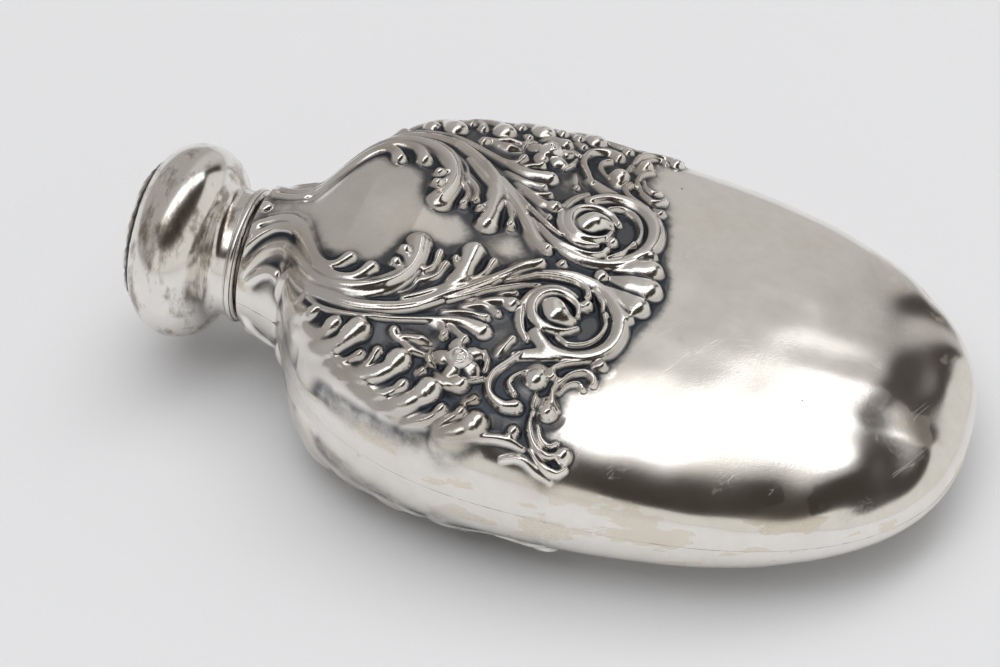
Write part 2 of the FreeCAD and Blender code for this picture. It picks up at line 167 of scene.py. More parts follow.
@dataclass(frozen=True)
class Resting:
    """Where the flask's own axes are in the frame: the mouth's middle and the way out of it."""

    mouth: np.ndarray
    outward: np.ndarray

    @staticmethod
    def from_frame() -> "Resting":
        """Reads the mouth and the neck's axis from the cap's hinge."""
        hinge = next(j for j in frame["joints"] if j["name"] == "cap_turn")
        return Resting(np.array(hinge["pos_m"], float), unit(np.array(hinge["axis"], float)))

    def turn(self, vectors: np.ndarray) -> np.ndarray:
        """Turns vectors from the flask's axes into the frame's: a rotation about Y."""
        along = -self.outward
        across = np.array([0.0, 1.0, 0.0])
        return vectors @ np.stack([along, across, np.cross(along, across)])

    def place(self, points: np.ndarray) -> np.ndarray:
        """Turns points in the flask's millimetres into the frame's metres."""
        return self.mouth + self.turn(points) * MM


# ---------------------------------------------------------------- the body's form
@dataclass(frozen=True)
class BodyForm:
    """The plain form of a half, as the CAD model has it."""

    length: float = 119.0
    half_width: float = 39.8
    half_thickness: float = 17.0
    widest: float = 53.7
    thickest: float = 17.6
    shoulder: float = 7.1
    base_power: float = 2.4
    shoulder_power: float = 2.3
    section_power: float = 3.2
    taper: float = 0.33
    neck: float = 11.2
    flare: float = 2.3
    flare_power: float = 1.2
    blend: float = 6.0
    film: float = 0.06
    wall: float = 0.8

    def end_curve(self, x: np.ndarray, middle: float) -> np.ndarray:
        """(1 - u^n)^(1/n), where u is the share of the way from the middle to the end."""
        base = np.clip((x - middle) / (self.length - middle), 0, 1) ** self.base_power
        head = np.clip((middle - x) / (middle - self.shoulder), 0, 1) ** self.shoulder_power
        return np.where(x >= middle, (1 - base) ** (1 / self.base_power),
                        (1 - head) ** (1 / self.shoulder_power))

    def with_neck(self, x: np.ndarray, reach: np.ndarray) -> np.ndarray:
        """The sixth-power mean of the body's half size and the neck's radius, which fades to the middle."""
        flare = self.flare * np.minimum(x / self.shoulder, 1) ** self.flare_power
        fade = 1 - np.clip((x - self.widest / 2) / (self.widest / 2), 0, 1)
        return (reach**self.blend + ((self.neck + flare) * fade) ** self.blend) ** (1 / self.blend)

    def half_sizes(self, x: np.ndarray) -> tuple[np.ndarray, np.ndarray]:
        """Half width and half thickness at stations x."""
        taper = 1 - self.taper * np.clip((x - self.thickest) / (self.length - self.thickest), 0, 1)
        width = self.half_width * self.end_curve(x, self.widest)
        depth = self.half_thickness * self.end_curve(x, self.thickest) * taper
        return self.with_neck(x, width), self.with_neck(x, depth)

    def points(self, x: np.ndarray, angle: np.ndarray) -> np.ndarray:
        """The half's surface: y = w k cos t, z = h k sin t, with k = (|cos t|^n + |sin t|^n)^(-1/n)."""
        width, depth = self.half_sizes(x)
        rise = smoothstep(self.shoulder, 3 * self.shoulder, x)
        power = 2 + (self.section_power - 2) * rise
        c, s = np.cos(angle), np.sin(angle)
        scale = (np.abs(c) ** power + np.abs(s) ** power) ** (-1 / power)
        return np.stack([x + 0 * angle, width * c * scale, depth * s * scale], -1)


# ---------------------------------------------------------------- the embossing
@dataclass(frozen=True)
class Stroke:
    """A raised line, scroll, leaf or lobe of the embossing.

    path holds x and y in turn, in millimetres on the drawing. width is the half width and rise the height,
    each given at even steps along the path. ribs is the number of grooves between ribs, and mill the spacing
    of milling. web is the share of the rise that a low flank of twice the width has at the root: it joins
    neighbours.
    """

    path: str
    width: tuple[float, ...]
    rise: tuple[float, ...]
    ribs: int = 0
    mill: float = 0.0
    roundness: float = 0.75
    web: float = 0.0

    def samples(self) -> np.ndarray:
        """Points of the smooth path."""
        return curve_through(np.array(self.path.split(), float).reshape(-1, 2), 9)


def leaf(path: str, tip: float, stem: float = 0.35, rise: float = 1.2) -> Stroke:
    """A leaf lobe: low at its root, swelling to a round and high tip, with a web to its neighbours."""
    return Stroke(path, (stem, 0.4 * stem + 0.6 * tip, 0.92 * tip, 0.95 * tip, 1.3 * tip),
                  (rise * 0.5, rise * 0.75, rise * 0.88, rise * 0.92, rise * 1.25), roundness=0.6, web=0.8)


def petals(x: float, y: float, count: int, inner: float, outer: float, half: float) -> tuple[Stroke, ...]:
    """Broad petals round a flower."""
    angles = [2 * math.pi * (i + 0.3) / count for i in range(count)]
    made = []
    for a in angles:
        turned = [(r, a + 0.12 * (r - inner)) for r in (inner, (inner + outer) / 2, outer)]
        path = " ".join(f"{x + r * math.cos(t)} {y + r * math.sin(t)}" for r, t in turned)
        made.append(Stroke(path, (half * 0.7, half, half * 0.8), (0.9, 1.15, 1.0), roundness=0.5))
    return tuple(made)


def whorl(x: float, y: float, start: float, end: float, turns: float, half: float, rise: float) -> Stroke:
    """A spiral ridge from the start radius to the end radius."""
    share = [i / 14 for i in range(15)]
    points = [(start + (end - start) * t, 2 * math.pi * turns * t + 0.6) for t in share]
    return Stroke(" ".join(f"{x + r * math.cos(a)} {y + r * math.sin(a)}" for r, a in points),
                  (half, half, half * 0.6), (rise, rise * 0.9, rise * 0.6))


def bead(x: float, y: float, radius: float, rise: float) -> Stroke:
    """A round bead."""
    return Stroke(f"{x} {y} {x + 0.05} {y}", (radius, radius), (rise, rise), roundness=0.5)


def line(path: str, width: float = 0.4, rise: float = 0.6) -> Stroke:
    """A thin ridge, pointed at both ends."""
    return Stroke(path, (width * 0.5, width, width, width * 0.6), (rise * 0.6, rise, rise, rise * 0.6))


CARTOUCHE_BORDER = (
    Stroke("1.5 2.4 5 1.4 8 2.2 10.3 5 12.5 8.6 14.5 11.7 16.6 13.2 18.4 13 19.7 11.3",
           (0.8, 0.8, 0.7, 0.7, 1.15), (0.7, 0.7, 0.7, 0.8, 1.3)),
    Stroke("2.5 0.5 6 0.1 8.8 1.2 10.9 4.2 12.4 7.2", (0.25, 0.3, 0.15), (0.25, 0.3, 0.1)),
    Stroke("0 6.4 2.5 4.2 5 3.1 8 3.7 10 5.9 12.5 9.7 15 13 18 15.1 21 15.2 22.6 14.1 23.6 12.4",
           (0.9, 0.85, 0.8, 0.85, 1.35), (0.9, 0.9, 0.9, 1.0, 1.5)),
)
FIRST_LEAF = (
    Stroke("1.5 8.6 4 6.8 6.5 6.3 8.5 7.2 10.5 9.6 13 13 16 15.9 20 17 24 16.4 27.2 14.2 29.1 10.8 29.4 7.5"
           " 28.8 4",
           (0.9, 0.95, 0.9, 1.3, 2.0, 1.5, 1.9), (1.0, 1.0, 0.9, 1.0, 1.5, 1.7, 2.1), ribs=1, web=0.4),
    leaf("29 10 28.1 8.3 27.3 7.1", 0.75, 0.6, 1.5),
    leaf("28.8 13.2 28 11.2 26.8 10", 0.7, 0.6, 1.2),
    leaf("30.3 10 32.2 8.2 32.4 5", 0.6, 0.8, 1.2),
    leaf("30.6 12 33.2 9.8 34 6.8", 0.6, 0.8, 1.0),
    leaf("27 17 30 14.5 31.2 11.5 31.4 9.5", 0.3, 0.5, 0.6),
)
MAIN_STEM = (
    Stroke("7.5 8.6 10 11.2 13 15 16 17.9 20 19.4 24 19.8 28 19 32 16.7 36 13 40 8.9 43 5.4 45.2 2.8"
           " 47.7 0.8",
           (0.4, 0.7, 1.0, 1.25, 1.3, 1.2, 0.9), (0.6, 0.7, 0.9, 1.0, 1.1, 1.3, 1.1), ribs=2),
    Stroke("30 16.2 33 13.6 36.5 10.2 39.5 7.4", (0.5, 0.8, 0.8, 0.4), (0.8, 1.0, 1.0, 0.8), mill=0.45),
    Stroke("36.5 14 42 9.2 46 6.4 49 4.8", (0.4, 0.55, 0.5, 0.3), (0.9, 1.2, 1.2, 1.0), mill=0.45),
    Stroke("15.5 18.6 18 20.7 21 21.6 25 21.6 29 20.8 33 19.4 36 18.3 40 17.3 43.4 17.7",
           (0.35, 0.45, 0.5, 0.6, 1.5), (0.5, 0.6, 0.7, 0.9, 1.4)),
    leaf("43.2 5.4 44.6 2.9 46 1.3 47.7 0.6", 0.75, 0.6, 1.3),
)
SECOND_LEAF = (
    Stroke("33 16.6 35.5 13 36.8 9 37.2 5.4 37.2 2.2", (0.6, 1.3, 1.8, 1.4, 1.8), (0.8, 1.1, 1.4, 1.6, 2.0),
           web=0.5),
    leaf("36.6 7.6 35.6 6.3 35.1 5.1", 0.55, 0.6, 1.2),
    leaf("37.8 9.5 40 6.5 40.8 3.4", 0.65, 0.8, 1.2),
    leaf("39.5 12.5 41.5 9 42.5 7", 0.4, 0.6, 0.8),
)
OUTER_LOBES = (
    leaf("35 18.8 37.3 19.1 38.1 20.8", 0.65, 0.4, 1.0),
    leaf("38 18.4 39.8 19.4 41.3 20.3", 0.6, 0.4, 1.0),
    leaf("36.5 16.2 40 15.1 43.2 14.9", 0.5, 0.4, 0.9),
    leaf("39 14 42 12.7 44.6 13.4", 0.5, 0.5, 0.9),
    leaf("41 12.2 44 10.8 46.1 10.7", 1.0, 0.5, 1.3),
    leaf("43 9.8 44.6 8.7 45.9 8.2", 0.5, 0.4, 0.8),
    leaf("46.9 21 47.5 19 48.1 17.4", 0.5, 0.5, 0.8),
)
VOLUTE = (
    Stroke("52.2 8.9 53 9.9 54.6 10.4 56 10", (1.9, 2.0, 1.3, 0.5), (2.1, 2.1, 1.5, 0.9), roundness=0.5),
    Stroke("56.2 8.8 55.6 7 53.8 5.7 51.6 5.7 49.8 7.2 49.2 9.6 50 12 52.4 13.3 55 12.9 56.8 11.4",
           (0.5, 0.8, 1.0, 1.1, 0.9, 0.6), (1.2, 1.5, 1.6, 1.5, 1.3, 1.0)),
    Stroke("50.2 16.8 48.5 14.4 47.6 11 48.1 7.6 50 5.2 52.6 4.3 55 5", (0.5, 0.85, 0.85, 0.8, 0.4),
           (0.7, 1.0, 1.1, 1.1, 0.9)),
    Stroke("43.5 6.6 46 4.4 49 2.2 53 0.9 57 1.3 60 3.2 62.3 6.5 63.1 10 62.4 13.6 60.2 16.3 57 17.6"
           " 54 17.3 52.2 16 51.2 14.9", (0.5, 0.9, 1.2, 1.5, 1.5, 1.3, 1.2),
           (0.9, 1.2, 1.3, 1.4, 1.4, 1.3, 1.5), ribs=3),
    Stroke("45 5.7 48 3.3 51 2.3 54 2.1 55.9 2.9 56.6 4.4", (0.3, 0.45, 0.5, 0.7), (1.0, 1.4, 1.5, 1.5)),
    Stroke("54.4 14.3 56.5 15.2 58.9 14.2 60.4 11.8 60.7 9 59.9 6.9", (0.5, 0.55, 0.5, 0.5),
           (1.1, 1.3, 1.3, 1.2)),
    Stroke("57 2.6 58.8 4.4 59.7 6.6", (0.4, 0.5, 0.4), (1.2, 1.4, 1.1)),
    bead(56.9, 6.4, 1.0, 1.7),
    bead(60.2, 7.3, 0.55, 1.5),
)
FAN = (
    Stroke("59 -1.2 62 -1.2 65 -1.2", (0.7, 1.7, 2.1), (0.7, 1.4, 1.8), roundness=0.5),
    Stroke("58.8 0.9 61.8 2.3 64.2 3.1", (0.6, 1.6, 2.0), (0.6, 1.3, 1.7), roundness=0.5),
    Stroke("59.2 3.6 61.8 5.4 63.4 6.3", (0.3, 0.9, 1.2), (0.5, 0.9, 1.2), roundness=0.5),
    bead(50.8, -1.2, 0.8, 0.9),
    bead(57.3, -1.2, 1.1, 1.1),
    bead(1, -1.2, 1.1, 0.8),
    bead(0.8, 3.5, 1.2, 0.8),
)
ROSE = (
    *petals(41.8, 24.4, 5, 1.6, 3.0, 1.35),
    bead(41.8, 24.4, 1.75, 1.7),
    whorl(41.8, 24.4, 0.35, 1.9, 1.6, 0.42, 2.3),
    leaf("36.3 23.2 33.2 22.9 31.8 23.6 30.7 22.6", 0.7, 0.8, 0.9),
    Stroke("33.2 23 35 22.8 36.5 23", (0.6, 0.9, 0.5), (0.8, 1.2, 0.8)),
    Stroke("32.2 23.9 34.2 25 36.3 25.2", (0.5, 0.75, 0.5), (0.7, 1.0, 0.7)),
    line("37.1 24.2 37.3 26 38.7 26.8", 0.6, 1.0),
    leaf("36.3 28.8 37 28", 0.6, 0.4, 0.8),
    Stroke("44.9 21.3 45.8 23.2 46 25.2", (0.4, 0.6, 0.4), (0.7, 1.0, 0.7)),
    Stroke("44.4 27.6 46.1 26.5", (0.4, 0.5), (0.7, 0.9)),
    leaf("39.2 28 41 29.1 43.2 28.5", 1.0, 0.5, 1.2),
    leaf("44.6 31.2 45.9 30.2", 0.6, 0.4, 0.7),
)
LOWER_SCROLLS = (
    Stroke("49.7 20.4 53 18.7 57 17.8", (0.9, 1.2, 0.8), (0.6, 0.7, 0.7), roundness=0.3),
    Stroke("50 19.8 48.9 22 47.5 24.5 47.2 27 48.1 28.9 50.4 29.9 52.3 29.4", (0.5, 0.6, 0.65, 1.1),
           (0.9, 1.1, 1.2, 1.4)),
    Stroke("52.2 22.4 50.6 24.2 50.1 26 51.3 27.4", (0.3, 0.5, 0.6), (0.7, 1.0, 1.1)),
    leaf("53.9 21.8 54 22.9 53.8 23.7", 1.3, 0.6, 1.4),
    Stroke("62.2 15.6 59.5 17.8 56.8 19.3 55.6 20.8 55.9 22.3", (0.3, 0.4, 0.5, 0.8), (0.8, 0.9, 1.0, 1.1)),
    leaf("61 18 62.2 17.3", 0.8, 0.4, 1.0),
    Stroke("57.2 23.4 58.3 21 60.3 19.6 61.8 20.2 62.1 21.4", (0.35, 0.6, 0.65, 0.5), (0.7, 1.1, 1.2, 0.9)),
    Stroke("57.7 25 58.5 23 60 22.1 60.9 22.8", (0.3, 0.45, 0.45), (0.7, 1.0, 0.8)),
    Stroke("57 22.3 56.7 25 57.3 26.8 58.4 28", (0.4, 0.5, 0.4), (0.8, 1.0, 0.8)),
    leaf("56.6 26.8 57 28.8", 1.0, 0.5, 1.4),
    line("54.5 26 54.8 28.6", 0.55, 0.9),
    Stroke("54.9 29.3 55.2 32 56.6 34.1 58.7 35.2 60.2 34.8", (0.35, 0.6, 0.6, 0.5), (0.8, 1.1, 1.1, 1.0)),
    Stroke("56.3 31.2 57.3 33 58.7 33.8 59.7 33.1", (0.25, 0.4, 0.45), (0.7, 0.9, 0.8)),
    bead(61.2, 34.5, 1.1, 1.3),
    Stroke("56.2 35 58.5 36.5 60.8 36.9 62 36.2", (0.3, 0.5, 0.4), (0.7, 1.0, 0.8)),
    line("52.4 37.2 55.2 36.5 58 37.4 60.5 38", 0.4, 0.7),
    bead(53, 33.2, 0.9, 1.0),
    Stroke("46.3 36.2 49 35.2 52.5 34.7 55.2 35.2", (0.3, 0.6, 0.7, 0.4), (0.6, 0.9, 0.9, 0.6)),
)
LEAF_SPRAY = (
    Stroke("8.5 10.2 12 17.8 16 23.6 20 27.2 25 30.4 30 32.8 35 34.6 40 35.6", (0.5, 1.0, 1.6, 1.7, 0.9),
           (0.5, 0.65, 0.7, 0.6, 0.4), roundness=1.3),
    Stroke("9.2 11 13 18.2 17 23.2 21 26.6 26 29.8 31 32.2 36 33.9", (0.3, 0.5, 0.5, 0.3),
           (0.6, 0.8, 0.9, 0.6)),
    leaf("9.5 12 11.5 15.5 13 17.6 14.4 18.4", 0.5, 0.3, 0.7),
    leaf("10 13.2 12.5 17.3 14.5 20 16 21.2 17.2 21.6", 0.85, 0.35, 1.0),
    leaf("13 19.3 15.5 22.9 18.5 24.9 20.6 24.8 21.4 23.9", 1.1, 0.45, 1.2),
    leaf("17 25.6 20 27 23 26.7 25.3 24.2", 1.5, 0.6, 1.5),
    leaf("21 28.8 24.5 29 27 27.8", 0.65, 0.5, 0.9),
    leaf("27.6 30 28.9 28.6 29.4 26.8", 0.75, 0.5, 1.0),
    leaf("25 30.8 29.5 30.4 32 29 32.9 27.4", 1.5, 0.6, 1.5),
    leaf("29.5 33 33 32.3 34.8 30.9", 0.8, 0.5, 1.0),
    leaf("33 34.2 36.5 33 38.8 30.8", 1.5, 0.6, 1.5),
    leaf("36.5 35.6 40 34.6 41.6 33", 0.75, 0.5, 1.0),
    leaf("41.5 35.4 43.4 33.9 44.6 32.7", 0.75, 0.5, 1.0),
    leaf("42 36.2 45 35.4 47.2 33.8", 1.4, 0.6, 1.3),
)
NECK_RIDGES = (
    Stroke("0.4 10.4 3.5 9.2 6 9.3 8.2 10.6", (0.5, 0.7, 0.5, 0.5), (0.8, 0.9, 0.8, 0.6)),
    Stroke("8.8 9.2 11 13 13.6 16.6 16.4 19.6", (0.3, 0.4, 0.3), (0.4, 0.6, 0.4)),
    bead(8.9, 11.4, 0.95, 1.3),
)
DRAWING = (CARTOUCHE_BORDER + FIRST_LEAF + MAIN_STEM + SECOND_LEAF + OUTER_LOBES + VOLUTE + FAN + ROSE
           + LOWER_SCROLLS + LEAF_SPRAY + NECK_RIDGES)


@dataclass
class Embossing:
    """Height map of the embossing over the plan of a half, in millimetres."""

    step: float = 0.1
    reach_x: float = 72.0
    reach_y: float = 44.0
    start_x: float = -2.0
    drawing_offset: float = 1.2
    drawing_half: float = 40.0
    softness: float = 0.14
    hollow_scale: float = 1.1
    field_scale: float = 2.4
    fullness: float = 1.18
    height: np.ndarray = field(init=False)
    hollow: np.ndarray = field(init=False)
    dense: np.ndarray = field(init=False)

    def __post_init__(self) -> None:
        """Draws every stroke on one side, mirrors the map, softens it and finds its hollows."""
        self.xs = np.arange(self.start_x, self.reach_x, self.step)
        self.ys = np.arange(-self.reach_y, self.reach_y + self.step / 2, self.step)
        one_side = np.zeros((len(self.xs), len(self.ys)))
        for stroke in DRAWING:
            self.draw(one_side, stroke)
        both = np.maximum(one_side, one_side[:, ::-1])
        self.height = self.blurred(both, self.softness)
        self.hollow = self.blurred(both, self.hollow_scale) - self.height
        self.dense = self.blurred(both, self.field_scale)

    def on_plan(self, points: np.ndarray) -> np.ndarray:
        """Moves drawn points to the plan. Raised work was drawn as seen at a slant, which puts it too far in
        near the middle, by drawing_offset."""
        y = points[:, 1] + self.drawing_offset * (1 - np.clip(points[:, 1] / self.drawing_half, 0, 1) ** 2)
        return np.stack([points[:, 0], y], -1)

    def draw(self, height: np.ndarray, stroke: Stroke) -> None:
        """Raises the map to a stroke: rise times (1 - q^2)^r, where q is the distance over the half width.

        The stroke is joined to the map by the fourth-power mean, so that creases between strokes are soft."""
        path = self.on_plan(stroke.samples())
        share = np.linspace(0, 1, len(path))
        width = np.interp(share, np.linspace(0, 1, len(stroke.width)), stroke.width) * self.fullness
        rise = np.interp(share, np.linspace(0, 1, len(stroke.rise)), stroke.rise)
        run = np.concatenate([[0], np.cumsum(np.linalg.norm(np.diff(path, axis=0), axis=1))])
        spread = 2.0 if stroke.web else 1.0
        margin = spread * width.max()
        u0, u1 = np.searchsorted(self.xs, (path[:, 0].min() - margin, path[:, 0].max() + margin))
        v0, v1 = np.searchsorted(self.ys, (path[:, 1].min() - margin, path[:, 1].max() + margin))
        own = np.zeros((u1 - u0, v1 - v0))
        for i in range(len(path) - 1):
            a, b = path[i], path[i + 1]
            reach = spread * max(width[i], width[i + 1])
            x0, x1 = np.searchsorted(self.xs, (min(a[0], b[0]) - reach, max(a[0], b[0]) + reach))
            y0, y1 = np.searchsorted(self.ys, (min(a[1], b[1]) - reach, max(a[1], b[1]) + reach))
            if x1 <= x0 or y1 <= y0:
                continue
            px, py = self.xs[x0:x1, None] - a[0], self.ys[None, y0:y1] - a[1]
            way = b - a
            t = np.clip((px * way[0] + py * way[1]) / (way @ way), 0, 1)
            dx, dy = px - t * way[0], py - t * way[1]
            half = width[i] + t * (width[i + 1] - width[i])
            q = np.hypot(dx, dy) / half
            peak = rise[i] + t * (rise[i + 1] - rise[i])
            raised = peak * np.clip(1 - q * q, 0, 1) ** stroke.roundness
            if stroke.ribs:
                side = np.sign(dx * way[1] - dy * way[0]) * q
                raised = raised * (0.84 + 0.16 * np.cos(2 * np.pi * stroke.ribs * side))
            if stroke.mill:
                along = run[i] + t * (run[i + 1] - run[i])
                raised = raised * (0.9 + 0.1 * np.cos(2 * np.pi * along / stroke.mill))
            if stroke.web:
                fade = stroke.web * (1 - share[i]) ** 0.7
                raised = np.maximum(raised, fade * peak * np.clip(1 - (q / spread) ** 2, 0, 1))
            window = own[x0 - u0 : x1 - u0, y0 - v0 : y1 - v0]
            np.maximum(window, raised, out=window)
        window = height[u0:u1, v0:v1]
        window[...] = (window**4 + own**4) ** 0.25

    def blurred(self, height: np.ndarray, spread: float) -> np.ndarray:
        """Gaussian blur, as a product with exp(-2 (pi f s)^2) on the map's spectrum."""
        fx = np.fft.fftfreq(height.shape[0], self.step)[:, None]
        fy = np.fft.rfftfreq(height.shape[1], self.step)[None, :]
        kernel = np.exp(-2 * (np.pi * spread) ** 2 * (fx**2 + fy**2))
        return np.fft.irfft2(np.fft.rfft2(height) * kernel, s=height.shape)

    def sample(self, field_map: np.ndarray, x: np.ndarray, y: np.ndarray) -> np.ndarray:
        """Reads a map between its grid points, as the mean of the four nearest weighted by nearness."""
        u = np.clip((x - self.xs[0]) / self.step, 0, len(self.xs) - 1.001)
        v = np.clip((y - self.ys[0]) / self.step, 0, len(self.ys) - 1.001)
        i, j = u.astype(int), v.astype(int)
        fu, fv = u - i, v - j
        low = field_map[i, j] * (1 - fu) + field_map[i + 1, j] * fu
        high = field_map[i, j + 1] * (1 - fu) + field_map[i + 1, j + 1] * fu
        return low * (1 - fv) + high * fv


# ---------------------------------------------------------------- shells
@dataclass(frozen=True)
class Dents:
    """The unevenness of worked sheet: a sum of plane waves, with directions and phases from a fixed seed."""

    height: float = 0.009
    wavelengths: tuple[float, ...] = (34.0, 26.0, 19.0, 15.0, 12.0, 9.5, 8.0)
    each: int = 3
    seed: int = 7
    base_start: float = 88.0
    base_ramp: float = 25.0
    base_gain: float = 2.2

    def at(self, points: np.ndarray) -> np.ndarray:
        """How far the sheet is out, in millimetres, at each point: more towards the base."""
        rng = np.random.default_rng(self.seed)
        total = np.zeros(points.shape[:-1])
        for length in self.wavelengths:
            ways = unit(rng.normal(size=(self.each, 3))) * 2 * np.pi / length
            phases = rng.uniform(0, 2 * np.pi, self.each)
            weight = self.height * (length / self.wavelengths[-1]) ** 0.9
            total += weight * np.sin(np.tensordot(points, ways, (-1, -1)) + phases).sum(-1)
        towards_base = smoothstep(self.base_start, self.base_start + self.base_ramp, points[..., 0])
        return total * (1 + self.base_gain * towards_base)


@dataclass
class HalfShells:
    """The struck halves of the body: each has an embossed far and near patch, a plain panel and a wall."""

    form: BodyForm
    embossing: Embossing
    resting: Resting
    dents: Dents = Dents()
    embossed_reach: float = 68.0
    embossed_rows: int = 344
    plain_rows: int = 96
    columns: int = 520
    inner_every: int = 4
    spacing_station: float = 50.0
    ramp: tuple[float, float] = (2.2, 5.0)
    mouth_ramp: float = 0.6
    rest_softness: float = 0.12
    inside_hollow: float = 0.2

    def stations(self) -> np.ndarray:
        """Rows at even steps of the arc lengths of the side and the middle, finer where it is embossed."""
        fine = self.form.length * (1 - (1 - np.linspace(0, 1, 6000)) ** 3)
        width, depth = self.form.half_sizes(fine)
        step = np.hypot(np.diff(fine), np.diff(width)) + np.hypot(np.diff(fine), np.diff(depth))
        arc = np.concatenate([[0], np.cumsum(step)])
        border = np.interp(self.embossed_reach, fine, arc)
        targets = np.concatenate([np.linspace(0, border, self.embossed_rows, endpoint=False),
                                  np.linspace(border, arc[-1], self.plain_rows + 1)])
        stations = np.interp(targets, arc, fine)
        stations[-1] = self.form.length
        return stations

    def angles(self) -> np.ndarray:
        """Columns at even steps of the arc length of one cross section."""
        fine = np.linspace(0, math.pi, 4001)
        section = self.form.points(np.full_like(fine, self.spacing_station), fine)
        arc = np.concatenate([[0], np.cumsum(np.linalg.norm(np.diff(section, axis=0), axis=1))])
        return np.interp(np.linspace(0, arc[-1], self.columns + 1), arc, fine)

    def plain(self) -> tuple[np.ndarray, np.ndarray]:
        """Points and outward normals of the plain form, whose normals stay in the seam and mouth planes."""
        points = self.form.points(self.stations()[:, None], self.angles()[None, :])
        points[-1] = (self.form.length, 0, 0)
        normals = grid_normals(points)
        normals[:, (0, -1), 2] = 0
        normals[0, :, 0] = 0
        normals[-1] = (1, 0, 0)
        return points, unit(normals)

    def relief(self, points: np.ndarray, normals: np.ndarray, side: int) -> np.ndarray:
        """The embossing's height at each point. It fades to nothing at the seam and the mouth, and under the
        flask the high points are worn flat on the surface it lies on: a soft minimum of height and room."""
        inland = smoothstep(*self.ramp, points[..., 2]) * smoothstep(0, self.mouth_ramp, points[..., 0])
        height = self.embossing.sample(self.embossing.height, points[..., 0], points[..., 1]) * inland
        mirror = np.array([1, 1, side])
        height = height + self.dents.at(points * mirror) * inland
        if side > 0:
            return height
        level = self.resting.place((points + np.array([0, 0, self.form.film])) * mirror)[..., 2] / MM
        falling = np.minimum(self.resting.turn(normals * mirror)[..., 2], -1e-3)
        room = -level / falling
        soft = self.rest_softness
        low = -soft * np.logaddexp(-height / soft, -room / soft)
        return np.where(room < 3 * np.abs(height) + 1, np.minimum(low, room), height)

    def build(self, side: int, finish: bpy.types.Material) -> None:
        """Makes one half: side is 1 for the front and -1 for the back."""
        name = "front" if side > 0 else "back"
        base, base_normals = self.plain()
        from_seam = base[..., 2].copy()
        height = self.relief(base, base_normals, side)
        outer = base + base_normals * height[..., None]
        normals = grid_normals(outer)
        normals[-1] = (1, 0, 0)
        every = self.inner_every
        inner = (base - base_normals * self.form.wall)[::every, ::every]
        inner_normals = -base_normals[::every, ::every]
        for grid in (outer, inner):
            grid[..., 2] = (np.maximum(grid[..., 2], 0) + self.form.film) * side
        for grid in (normals, inner_normals):
            grid[..., 2] *= side
        hollow = self.embossing.sample(self.embossing.hollow, base[..., 0], base[..., 1])
        inland = smoothstep(*self.ramp, from_seam)
        hollow = hollow * inland
        dense = self.embossing.sample(self.embossing.dense, base[..., 0], base[..., 1]) * inland
        split, middle = self.embossed_rows, self.columns // 2
        parts = {
            f"{name}_embossed_far": (slice(0, split + 1), slice(0, middle + 1)),
            f"{name}_embossed_near": (slice(0, split + 1), slice(middle, self.columns + 1)),
            f"{name}_plain_panel": (slice(split, split + self.plain_rows + 1), slice(0, self.columns + 1)),
        }
        place, turn = self.resting.place, self.resting.turn
        flip = side > 0
        down = turn(np.array([0.0, 0.0, -side]))
        towards_base = turn(np.array([1.0, 0.0, 0.0]))
        for label, span in parts.items():
            patch = Patch(label)
            coarse = tuple(slice(s.start // every, (s.stop - 1) // every + 1) for s in span)
            skin = patch.add(place(outer[span]), hollow=hollow[span], rise=height[span], dense=dense[span],
                             seam=from_seam[span])
            wall = patch.add(place(inner[coarse]), hollow=self.inside_hollow, rise=0.0, dense=0.0,
                             seam=from_seam[::every, ::every][coarse])
            if label.endswith("plain_panel"):
                skin[-1], wall[-1] = skin[-1, 0], wall[-1, 0]
            patch.quads(skin, turn(normals[span]), flip)
            patch.quads(wall, turn(inner_normals[coarse]), not flip)
            patch.strip(skin[0], wall[0], -towards_base, flip)
            patch.strip(skin[-1], wall[-1], towards_base, not flip)
            patch.strip(skin[:, 0], wall[:, 0], down, not flip)
            patch.strip(skin[:, -1], wall[:, -1], down, flip)
            piece = patch.build()
            piece.data.materials.append(finish)
            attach(piece, "flask")
            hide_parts(f"{name}_shell")


# ---------------------------------------------------------------- the cap
@dataclass
class Run:
    """A smooth stretch of a turned outline: stations and radii, and how far its surface is lifted."""

    outline: np.ndarray
    lift: np.ndarray | float = 0.0
    hollow: np.ndarray | float = 0.0

    def poles(self) -> list[int]:
        """The ends of the run that are on the axis, as row numbers."""
        return [end for end in (0, -1) if self.outline[end, 1] < 1e-6]


def bow(centre: tuple[float, float], radius: float, start: tuple[float, float], end: tuple[float, float],
        count: int, over: float = 0.0) -> np.ndarray:
    """Points of a circle's arc about a centre in the plane of station and radius.

    Args:
        centre: station and radius of the arc's centre.
        radius: the arc's radius.
        start: a point in the direction of the arc's start.
        end: a point in the direction of its end.
        count: steps.
        over: turns added to the angle of the end.

    Returns:
        The points, one a row.
    """
    a = math.atan2(start[1] - centre[1], start[0] - centre[0])
    b = math.atan2(end[1] - centre[1], end[0] - centre[0]) + 2 * math.pi * over
    t = np.linspace(a, b, count + 1)
    return np.stack([centre[0] + radius * np.cos(t), centre[1] + radius * np.sin(t)], -1)


def straight(start: tuple[float, float], end: tuple[float, float], count: int = 1) -> np.ndarray:
    """Points of a straight stretch."""
    return np.linspace(start, end, count + 1)


